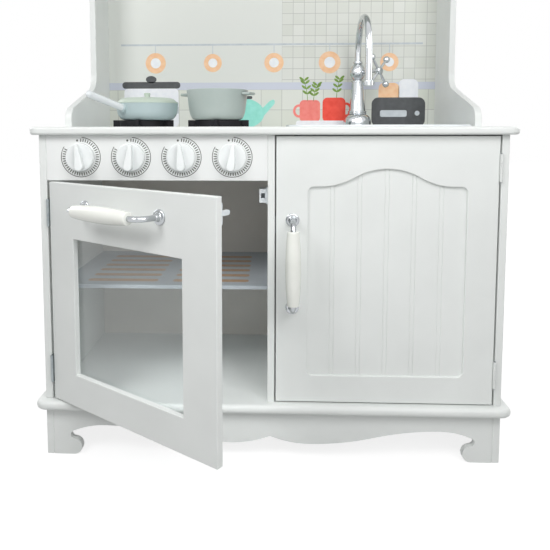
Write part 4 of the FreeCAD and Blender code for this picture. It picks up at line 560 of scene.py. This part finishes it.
# %% Cross handle
OUT = np.array([math.sqrt(0.5), -math.sqrt(0.5), 0.0])
SIDE = np.array([math.sqrt(0.5), math.sqrt(0.5), 0.0])
HUB_DISTANCE, CROSS_TURN = 40.6, 43
ARM_R, ARM_LENGTH, ARM_BALL_R = 2, 27, 5.2
hub = BULB + HUB_DISTANCE * OUT
hub_profile = soften([(0, -4.5), (5.6, -4.5), (5.6, 4.5), (0, 4.5)], (0, 2, 2, 0))
pin_profile = soften([(0, 5.05), (3, 5.05), (3, 38), (0, 38)], 0.2)
rod = [(0, 0), (ARM_R, 0), (ARM_R, 22)]
arm = np.concatenate([rod, ball_arc(ARM_BALL_R, ARM_LENGTH, ARM_R), [(0, ARM_LENGTH + ARM_BALL_R)]])
cross = [lathe(pin_profile, BULB, OUT, 32), lathe(hub_profile, hub, OUT, 48)]
for quarter in range(4):
    a = math.radians(CROSS_TURN + 90 * quarter)
    cross.append(lathe(arm, hub, SIDE * math.sin(a) - Z * math.cos(a), 32))
make_piece("tap_cross_handle", cross, "cross_handle", finish["tap_chrome_painted_highlight"], ("faucet_handle",))

# %% [markdown]
# ## Hobs
# Each hob is one black moulding: a dish with a burner cap in its well, and four bars that carry a pan. The dish is
# turned. A bar is a rounded rectangle carried along its length, drawn in over the last millimetre at each end so that
# no edge is sharp.

# %% Hobs
HOBS = {"left": (-184.7, -149.0), "right": (-75.2, -149.0)}
HOB_HEIGHT = 9.5
PAN_SEAT = TOP_Z + HOB_HEIGHT
BAR_START, BAR_LENGTH, BAR_WIDTH, BAR_ROUND = 10, 34, 5, 0.8


def rounded_rectangle(half_x, half_y, radius, steps=8):
    """Outline of a rectangle with round corners: corner middle plus radius * (cos t, sin t), a quarter turn each."""
    t = (np.arange(4)[:, None] + np.linspace(0, 1, steps)) * np.pi / 2
    sx, sy = np.array([[1], [-1], [-1], [1]]), np.array([[1], [1], [-1], [-1]])
    points = [sx * (half_x - radius) + radius * np.cos(t), sy * (half_y - radius) + radius * np.sin(t)]
    return np.stack(points, -1).reshape(-1, 2)


def rounded_bar(start, along, side, up, length, width, height, ease):
    """Bar from `start`: its outline is drawn in by ease * (1 - sin t) at ease * (1 - cos t) from each end, and the
    ends close in poles."""
    t = np.linspace(0, np.pi / 2, 5)
    place = np.r_[ease * (1 - np.cos(t)), length - ease * (1 - np.cos(t[::-1]))]
    inset = np.r_[ease * (1 - np.sin(t)), ease * (1 - np.sin(t[::-1]))]
    rows = []
    for p, n in zip(place, inset):
        drawn = rounded_rectangle(width / 2 - n, height / 2 - n, max(ease - n, 0.01))
        rows.append(np.array(start) + p * np.array(along) + drawn[:, :1] * side + drawn[:, 1:] * up)
    first, last = (np.tile(start + p * np.array(along), (len(rows[0]), 1)) for p in (0, length))
    return np.stack([first, *rows, last])


dish = soften([(0, 7.5), (15, 7.5), (15, 3), (27, 3), (27, 9), (34, 9), (34, 0), (0, 0)],
              (0, 1.2, 0.6, 0.6, 0.8, 1.2, 0.4, 0))
for side_name, (x, y) in HOBS.items():
    skins = [lathe(dish, (x, y, TOP_Z))]
    for quarter in range(4):
        way = np.array([math.cos(quarter * math.pi / 2), math.sin(quarter * math.pi / 2), 0.0])
        start = (x, y, TOP_Z + HOB_HEIGHT / 2) + BAR_START * way
        skins.append(rounded_bar(start, way, np.cross(Z, way), Z, BAR_LENGTH, BAR_WIDTH, HOB_HEIGHT, BAR_ROUND))
    make_piece(f"hob_{side_name}", skins, "cabinet", finish["black_plastic"],
               (f"burner_{side_name}",))

# %% [markdown]
# ## Pans
# The frying pan and the saucepan are pressed from sheet steel and enamelled. Each is turned from one closed profile:
# out along the bottom, up the side, over a rounded lip and back down inside. The frying pan has a lid with a knob, a
# socket and a white handle that rises at 17 degrees; the saucepan has two flat ears.

# %% Frying pan
PAN = np.array([HOBS["left"][0] + 6.0, HOBS["left"][1], PAN_SEAT])
WALL, PAN_HEIGHT = 1.6, 24
HANDLE_AZIMUTH, HANDLE_LIFT = math.radians(232), math.radians(17)
HANDLE_R, HANDLE_LENGTH = 5.0, 55.0
BOSS_OUT, BOSS_UP, BOSS_LENGTH = 41.0, 15.6, 6.0


def bowl(foot, side, side_height, rim, height):
    """Closed profile of a thin bowl: bottom, rounded heel, flaring side, lip, and the same again inside."""
    outside = [(0, 0), (foot, 0), (side, side_height), (rim, height)]
    inside = [(rim - WALL, height), (side - WALL, side_height), (foot - WALL, WALL), (0, WALL)]
    return soften(outside + inside, (0, 5, 5, 0.8, 0.8, 5, 5, 0), 9)


level = np.array([math.cos(HANDLE_AZIMUTH), math.sin(HANDLE_AZIMUTH), 0.0])
rise = level * math.cos(HANDLE_LIFT) + Z * math.sin(HANDLE_LIFT)
root = PAN + BOSS_OUT * level + BOSS_UP * Z
boss = soften([(0, -1.2), (6.8, -1.2), (6.8, 5.6), (5.4, BOSS_LENGTH), (0, BOSS_LENGTH)], (0, 0.3, 0.9, 0.3, 0))
pan = [lathe(bowl(36, 42.6, 7.2, 44.5, PAN_HEIGHT), PAN, steps=96), lathe(boss, root, rise, 40)]
make_piece("frying_pan", pan, "pan", finish["sage_enamel"], ("pan_body",))
t = np.linspace(0, np.pi / 2, 12)
dome_end = np.stack([HANDLE_R * np.cos(t), HANDLE_LENGTH + HANDLE_R * np.sin(t)], -1)
handle = np.concatenate([soften([(0, -2.3), (2.8, -2.3), (2.8, 0), (4.7, 0)], 0.3), [(4.7, 0.5)], dome_end])
make_piece("frying_pan_handle", [lathe(handle, root + BOSS_LENGTH * rise, rise, 40)], "pan", finish["white_plastic"],
           ("pan_handle",))

# %% Lid and saucepan
lid_ceiling = through((0, 6.6), (16.0, 6.35), (32.0, 5.6), 12)
lid_slope = through((32.2, 5.59), (37.3, 4.17), (40.8, 0.83), 12)
lid_rim = soften([(40.8, -2.5), (42.3, -2.5), (42.3, 0), (44.5, 0), (44.5, 1.6)], (0.2, 0.2, 0.2, 0.5, 0.6))
lid_shoulder = through((42.9, 1.6), (38.6, 5.92), (32.2, 7.79), 16)
lid_top = through((32.0, 7.8), (16.0, 8.55), (4.0, 8.8), 16)
lid_knob = soften([(4.0, 9.0), (4.0, 10.9), (4.5, 13.2), (4.5, 15.3), (0, 15.3)], (0.1, 0.5, 0.5, 1.2, 0))
lid = np.concatenate([lid_ceiling, lid_slope, lid_rim, lid_shoulder, lid_top, lid_knob])
make_piece("frying_pan_lid", [lathe(lid, PAN + PAN_HEIGHT * Z, steps=96)], "lid", finish["lid_enamel"],
           ("pan_lid",))

SAUCEPAN = np.array([HOBS["right"][0] - 1.5, HOBS["right"][1], PAN_SEAT])
EAR_ANGLES, EAR_START, EAR_Z = (-22, 158), 43, 37
EAR_LENGTH, EAR_WIDTH, EAR_THICK, EAR_ROUND = 12.4, 22, 4, 1.6
ears = []
for a in (math.radians(angle) for angle in EAR_ANGLES):
    way = np.array([math.cos(a), math.sin(a), 0.0])
    start = SAUCEPAN + EAR_START * way + EAR_Z * Z
    ears.append(rounded_bar(start, way, np.cross(Z, way), Z, EAR_LENGTH, EAR_WIDTH, EAR_THICK, EAR_ROUND))
make_piece("saucepan_body", [lathe(bowl(35, 39.6, 8, 44.4, 43), SAUCEPAN, steps=96)] + ears, "saucepan",
           finish["grey_enamel"], ("saucepan",))

# %% [markdown]
# ## Sink tub
# The sink is a vacuum-formed tub that hangs by its rim in the worktop. It is a rounded rectangle carried down a
# profile: from the middle of its underside out and up the outer wall, over the rim, down inside, and in to the middle
# of the floor. Each step of the profile says how far the outline is drawn in, at which height.

# %% Sink
SINK, RIM = np.array([146.0, -146.0, 0.0]), (122.0, 78.0)
RIM_CORNER, LEAST_CORNER = 22, 6
outer_wall = [(11, 424), (17, 380), (20, 374), (26, 372)]
inner_wall = [(26, 374), (21.5, 376), (19, 382), (13, 426.5)]
rim_edge = [(0, 424), (0, 426.5)]
round_off = (0, 4, 4, 1, 0.3, 1.2, 1.2, 4, 4, 0)
tub_profile = soften(outer_wall[::-1] + rim_edge + inner_wall[::-1], round_off, 6)
rows = []
for inset, z in tub_profile:
    drawn = rounded_rectangle(RIM[0] - inset, RIM[1] - inset, max(RIM_CORNER - inset, LEAST_CORNER), 10)
    rows.append(np.c_[drawn, np.full(len(drawn), z)] + SINK)
underside, floor = rows[0], rows[-1]
rows.insert(0, np.tile(underside.mean(0), (len(underside), 1)))
rows.append(np.tile(floor.mean(0), (len(floor), 1)))
make_piece("sink_tub", [np.stack(rows)], "cabinet", finish["white_plastic"], ("sink_basin",))

# %% [markdown]
# ## Printing on the boards
# A print could be painted by the shader, but a thin wafer of ink with its own material stays sharp from any distance.
# A wafer is an outline round its middle that stands a tenth of a millimetre proud of the board. Its grid runs from the
# middle of the top out to the edge, down, and back to the middle of the underside, which lies just inside the board.
# An ink line is the same, with a narrow box instead of an outline.

# %% Ink wafers
PANEL_FACE = (np.array([0, PANEL_Y, 0.0]), X, Z, -Y)
SPLASH_FACE = (np.array([0, -9.0, 0.0]), X, Z, -Y)
SHELF_FACE = (np.array([0, 0, 215.5]), X, Y, Z)
INK_PROUD, INK_LAYER, INK_SUNK = 0.10, 0.08, 0.04


def wafer(outline, face, layer=0):
    """Wafer of ink on a face (origin, right, up, out), each layer INK_LAYER mm above the one below."""
    origin, right, up, out = face
    outline = np.array(outline, float)
    middle = np.broadcast_to(outline.mean(0), outline.shape)
    flat = np.stack([middle, outline, outline, middle])
    top = INK_PROUD + INK_LAYER * layer
    proud = np.array([top, top, -INK_SUNK, -INK_SUNK])[:, None, None]
    return origin + flat[..., :1] * right + flat[..., 1:] * up + proud * out


def ellipse(x, z, rx, rz, start=0, end=360, steps=48):
    """Points (x + rx cos t, z + rz sin t) from one angle to another, in degrees."""
    t = np.radians(np.linspace(start, end, steps, endpoint=end - start < 360))
    return np.stack([x + rx * np.cos(t), z + rz * np.sin(t)], -1)


def strip(line, width, face, layer=0):
    """Ink line: a narrow box carried along a line on a face, closed at both ends."""
    origin, right, up, out = face
    line = np.array(line, float)
    way = np.gradient(line, axis=0)
    way /= np.linalg.norm(way, axis=1, keepdims=True)
    across = np.stack([-way[:, 1], way[:, 0]], -1) * width / 2
    top = INK_PROUD + INK_LAYER * layer
    corners = [(1, top), (-1, top), (-1, -INK_SUNK), (1, -INK_SUNK)]
    rows = np.stack([np.c_[line + s * across, np.full(len(line), h)] for s, h in corners], 1)
    first, last = (np.tile(row.mean(0), (1, 4, 1)) for row in (rows[0], rows[-1]))
    rows = np.concatenate([first, rows, last])
    return origin + rows[..., :1] * right + rows[..., 1:2] * up + rows[..., 2:] * out


print("ink stands", INK_PROUD, "mm proud, its layers", INK_LAYER, "mm apart")

# %% [markdown]
# Round each dial runs a thin arc from the top clockwise to ten o'clock, with short strokes inside it and a dot where
# the dial is off.

# %% Dial rings
RING_R, RING_WIDTH, RING_TURN = 24.6, 0.85, (4, 302)
STROKES, STROKE_FROM, STROKE_TO, STROKE_WIDTH, STROKE_TURN = 38, 19.2, 23.1, 1.15, (1, 297)
OFF_R, OFF_ANGLE, OFF_DOT = 21.2, math.radians(101.5), 1.3
marks = []
for x in DIAL_X:
    turn = np.radians(90 - np.linspace(*RING_TURN, 120))
    arc = np.stack([x + RING_R * np.cos(turn), DIAL_Z + RING_R * np.sin(turn)], -1)
    marks.append(strip(arc, RING_WIDTH, PANEL_FACE))
    for a in np.radians(90 - np.linspace(*STROKE_TURN, STROKES)):
        ray = np.array([math.cos(a), math.sin(a)])
        stroke = [(x, DIAL_Z) + STROKE_FROM * ray, (x, DIAL_Z) + STROKE_TO * ray]
        marks.append(strip(stroke, STROKE_WIDTH, PANEL_FACE))
    off_x, off_z = x + OFF_R * math.cos(OFF_ANGLE), DIAL_Z + OFF_R * math.sin(OFF_ANGLE)
    marks.append(wafer(ellipse(off_x, off_z, OFF_DOT, OFF_DOT, steps=20), PANEL_FACE))
make_piece("dial_rings", marks, "cabinet", inks["charcoal"], crease=20)

# %% [markdown]
# The oven shelf is printed with a wire rack: two groups of six bars.

# %% Shelf rack
RACK_ROWS, RACK_SPANS = np.linspace(-221, -72, 6), ((-247, -152), (-131, -29))
RACK_HALF_WIDTH, RACK_CORNER = 6.6, 4.5
bars = []
for y in RACK_ROWS:
    for x0, x1 in RACK_SPANS:
        outline = rounded_rectangle((x1 - x0) / 2, RACK_HALF_WIDTH, RACK_CORNER) + ((x0 + x1) / 2, y)
        bars.append(wafer(outline, SHELF_FACE))
make_piece("shelf_rack_print", bars, "cabinet", inks["tan"], crease=20)

# %% [markdown]
# On the splashback stand simple kitchen things, drawn flat in a few inks: a canister, a kettle, two mugs with herbs on
# a tray, a toaster with bread, and round trivets hung in a row. Each is a handful of outlines, sorted by ink, with
# what lies in front on a higher layer.

# %% Splashback pictures
prints = {name: [] for name in inks}


def draw(ink_name, outline, layer=0):
    """Adds one filled outline, in mm on the splashback, to an ink."""
    prints[ink_name].append(wafer(outline, SPLASH_FACE, layer))


def draw_line(ink_name, line, width, layer=0):
    """Adds one line, in mm on the splashback, to an ink."""
    prints[ink_name].append(strip(line, width, SPLASH_FACE, layer))


def block_shape(x, z, width, tall, corner):
    """Rounded rectangle that stands on height z with its middle at x."""
    return rounded_rectangle(width / 2, tall / 2, corner) + (x, z + tall / 2)


def sprig(x, z, tall, bend):
    """Stem with pairs of leaves: the stem bends by `bend` mm over its height, and leaves sit at four heights."""
    s = np.linspace(0, 1, 12)
    draw_line("leaf", np.stack([x + bend * s ** 2, z + tall * s], -1), 1.0, 1)
    for share in (0.35, 0.6, 0.85, 1.0):
        for lean in (38, 142):
            middle = np.array([x + bend * share ** 2, z + tall * share])
            a = math.radians(lean)
            turn = np.array([[math.cos(a), math.sin(a)], [-math.sin(a), math.cos(a)]])
            draw("leaf", ellipse(5.0, 0, 4.6, 1.9, steps=20) @ turn + middle, 2)


draw("white", block_shape(-200, 424, 92, 64, 7), 0)
draw("silver", block_shape(-200, 446, 92, 12, 1), 1)
draw("slate", block_shape(-200, 488, 98, 11, 5), 1)
draw("slate", ellipse(-200, 503, 9, 6), 1)
draw("mint", ellipse(-50, 446, 40, 26), 1)
draw("mint", soften([(-22, 446), (-2, 466), (6, 470), (8, 463), (-16, 436)], 3, closed=True), 0)
draw("slate", block_shape(-50, 470, 40, 5, 2.4), 2)
draw("slate", ellipse(-50, 479, 6, 5), 2)
draw("white", block_shape(89, 424, 92, 10, 4), 2)
draw("coral", block_shape(66, 432, 34, 36, 7), 1)
draw("red", block_shape(106, 432, 38, 40, 8), 1)
draw_line("coral", ellipse(48, 450, 8, 9, 80, 280, 24), 4)
draw_line("red", ellipse(126, 452, 8, 10, -100, 100, 24), 4)
sprig(62, 466, 34, -6)
sprig(72, 466, 26, 6)
sprig(110, 470, 32, 5)
draw("slate", block_shape(212, 424, 88, 48, 11), 1)
draw("silver", block_shape(204, 440, 44, 11, 3), 2)
draw("silver", ellipse(243, 446, 4, 4), 2)
draw("peach", block_shape(196, 462, 34, 34, 9), 0)
draw("white", block_shape(228, 462, 32, 40, 9), 0)
TRIVET_Z, RAIL_Z, RAIL_HALF = 530, 560, 250
for x, r in ((-192, 17), (-96, 15), (6, 16), (98, 18), (196, 15)):
    draw("peach", ellipse(x, TRIVET_Z, r, r), 0)
    draw("white", ellipse(x, TRIVET_Z, r * 0.5, r * 0.5), 1)
    draw_line("silver", [(x, TRIVET_Z + r), (x, RAIL_Z)], 1.2)
draw_line("silver", [(-RAIL_HALF, RAIL_Z), (RAIL_HALF, RAIL_Z)], 3.0, 1)
for name, wafers in prints.items():
    if wafers:
        make_piece("splashback_" + name, wafers, "cabinet", inks[name], crease=20)

# %% [markdown]
# ## Floor and light
# The toy stands on white paper, lit as for a catalogue. A small softbox at the left draws the shadows, a tall one at
# the right and a wide one above the camera soften them, and a low one fills in from the front. Three more stand behind
# the front, so that the sides and the back are lit as well and the front is not touched by them. The paper shows white
# to the camera by glowing there, less near the toy, where some diffuse white keeps the toy's shadow. To every other
# ray it is plain pale grey. The room adds a faint even light.

# %% Floor
SEEN = ("Is Camera Ray", "Is Glossy Ray", "Is Transmission Ray")
# Distance from the toy's origin in metres, and the glow there.
GLOW_NEAR, GLOW_FAR = (0.5, 0.82), (1.8, 1.0)
FLOOR_HALF, FLOOR_LINES = 6.0, 13


def seen_directly(tree):
    """1 for a ray that shows the background, straight on or by a mirror or through a pane, else 0."""
    path = add_node(tree, "LightPath").outputs
    pair = add_node(tree, "Math", {0: path[SEEN[0]], 1: path[SEEN[1]]}, operation="MAXIMUM").outputs[0]
    return add_node(tree, "Math", {0: pair, 1: path[SEEN[2]]}, operation="MAXIMUM").outputs[0]


paper = bpy.data.materials.new("white paper sweep")
paper.use_nodes = True
tree = paper.node_tree
tree.nodes.remove(tree.nodes["Principled BSDF"])
matt = add_node(tree, "BsdfDiffuse", {"Color": linear("#959595")}).outputs[0]
place = add_node(tree, "TexCoord").outputs["Object"]
away = add_node(tree, "VectorMath", {0: place}, operation="LENGTH").outputs["Value"]
reach = {"From Min": GLOW_NEAR[0], "From Max": GLOW_FAR[0], "To Min": GLOW_NEAR[1], "To Max": GLOW_FAR[1]}
strength = add_node(tree, "MapRange", {"Value": away, **reach}).outputs["Result"]
glow = add_node(tree, "Emission", {"Color": linear("#FFFFFF"), "Strength": strength}).outputs[0]
lit = add_node(tree, "AddShader", {0: matt, 1: glow}).outputs[0]
plain = add_node(tree, "BsdfDiffuse", {"Color": linear("#C8C8C8")}).outputs[0]
both = add_node(tree, "MixShader", {0: seen_directly(tree), 1: plain, 2: lit}).outputs[0]
tree.links.new(both, tree.nodes["Material Output"].inputs["Surface"])
s = np.linspace(-FLOOR_HALF, FLOOR_HALF, FLOOR_LINES)
x, y = (a.ravel() for a in np.meshgrid(s, s, indexing="ij"))
sheet = np.stack([x, y, np.zeros(len(x))], -1)
corner = np.arange(FLOOR_LINES ** 2).reshape(FLOOR_LINES, FLOOR_LINES)[:-1, :-1].ravel()
squares = np.stack([corner, corner + FLOOR_LINES, corner + FLOOR_LINES + 1, corner + 1], -1)
floor_mesh = bpy.data.meshes.new("floor")
floor_mesh.from_pydata(sheet, [], squares.tolist())
floor_mesh.materials.append(paper)
ground = bpy.data.objects.new("floor", floor_mesh)
bpy.context.scene.collection.objects.link(ground)
print("floor", len(floor_mesh.polygons), "faces")

# %% Room and lamps
ROOM = 0.16
room = bpy.data.worlds.new("white room")
bpy.context.scene.world = room
room.use_nodes = True
tree = room.node_tree
level_of = {"Value": seen_directly(tree), "To Min": ROOM, "To Max": 1.0}
strength = add_node(tree, "MapRange", level_of).outputs["Result"]
tree.links.new(strength, tree.nodes["Background"].inputs["Strength"])
tree.nodes["Background"].inputs["Color"].default_value = (1, 1, 1, 1)


def softbox(name, place, target, wide, tall, power):
    """Oblong area lamp, in metres and watts, that looks at a target and is not itself in the picture."""
    lamp = bpy.data.lights.new(name, "AREA")
    lamp.shape = "RECTANGLE"
    lamp.energy, lamp.size, lamp.size_y = power, wide, tall
    holder = bpy.data.objects.new(name, lamp)
    look = (Vector(target) - Vector(place)).to_track_quat("-Z", "Y")
    holder.matrix_world = Matrix.Translation(place) @ look.to_matrix().to_4x4()
    holder.visible_camera = False
    bpy.context.scene.collection.objects.link(holder)


softbox("left", (-0.62, -0.92, 0.93), (0.0, -0.28, 0.28), 0.35, 0.35, 3.9)
softbox("middle", (0.0, -0.95, 1.10), (0.0, -0.28, 0.25), 0.6, 0.4, 1.2)
softbox("right", (0.50, -1.00, 1.00), (0.0, -0.28, 0.28), 0.5, 0.9, 4.4)
softbox("low fill", (0.10, -0.80, 0.60), (0.0, -0.28, 0.30), 0.6, 0.6, 1.1)
softbox("left side", (-1.30, 0.35, 0.85), (-0.30, -0.15, 0.35), 0.8, 0.8, 6.0)
softbox("right side", (1.30, 0.35, 0.85), (0.30, -0.15, 0.35), 0.8, 0.8, 6.0)
softbox("behind", (0.0, 1.20, 0.90), (0.0, 0.0, 0.30), 0.9, 0.9, 5.0)
bpy.context.scene.view_settings.view_transform = "Standard"
print("room", ROOM, "and seven softboxes")
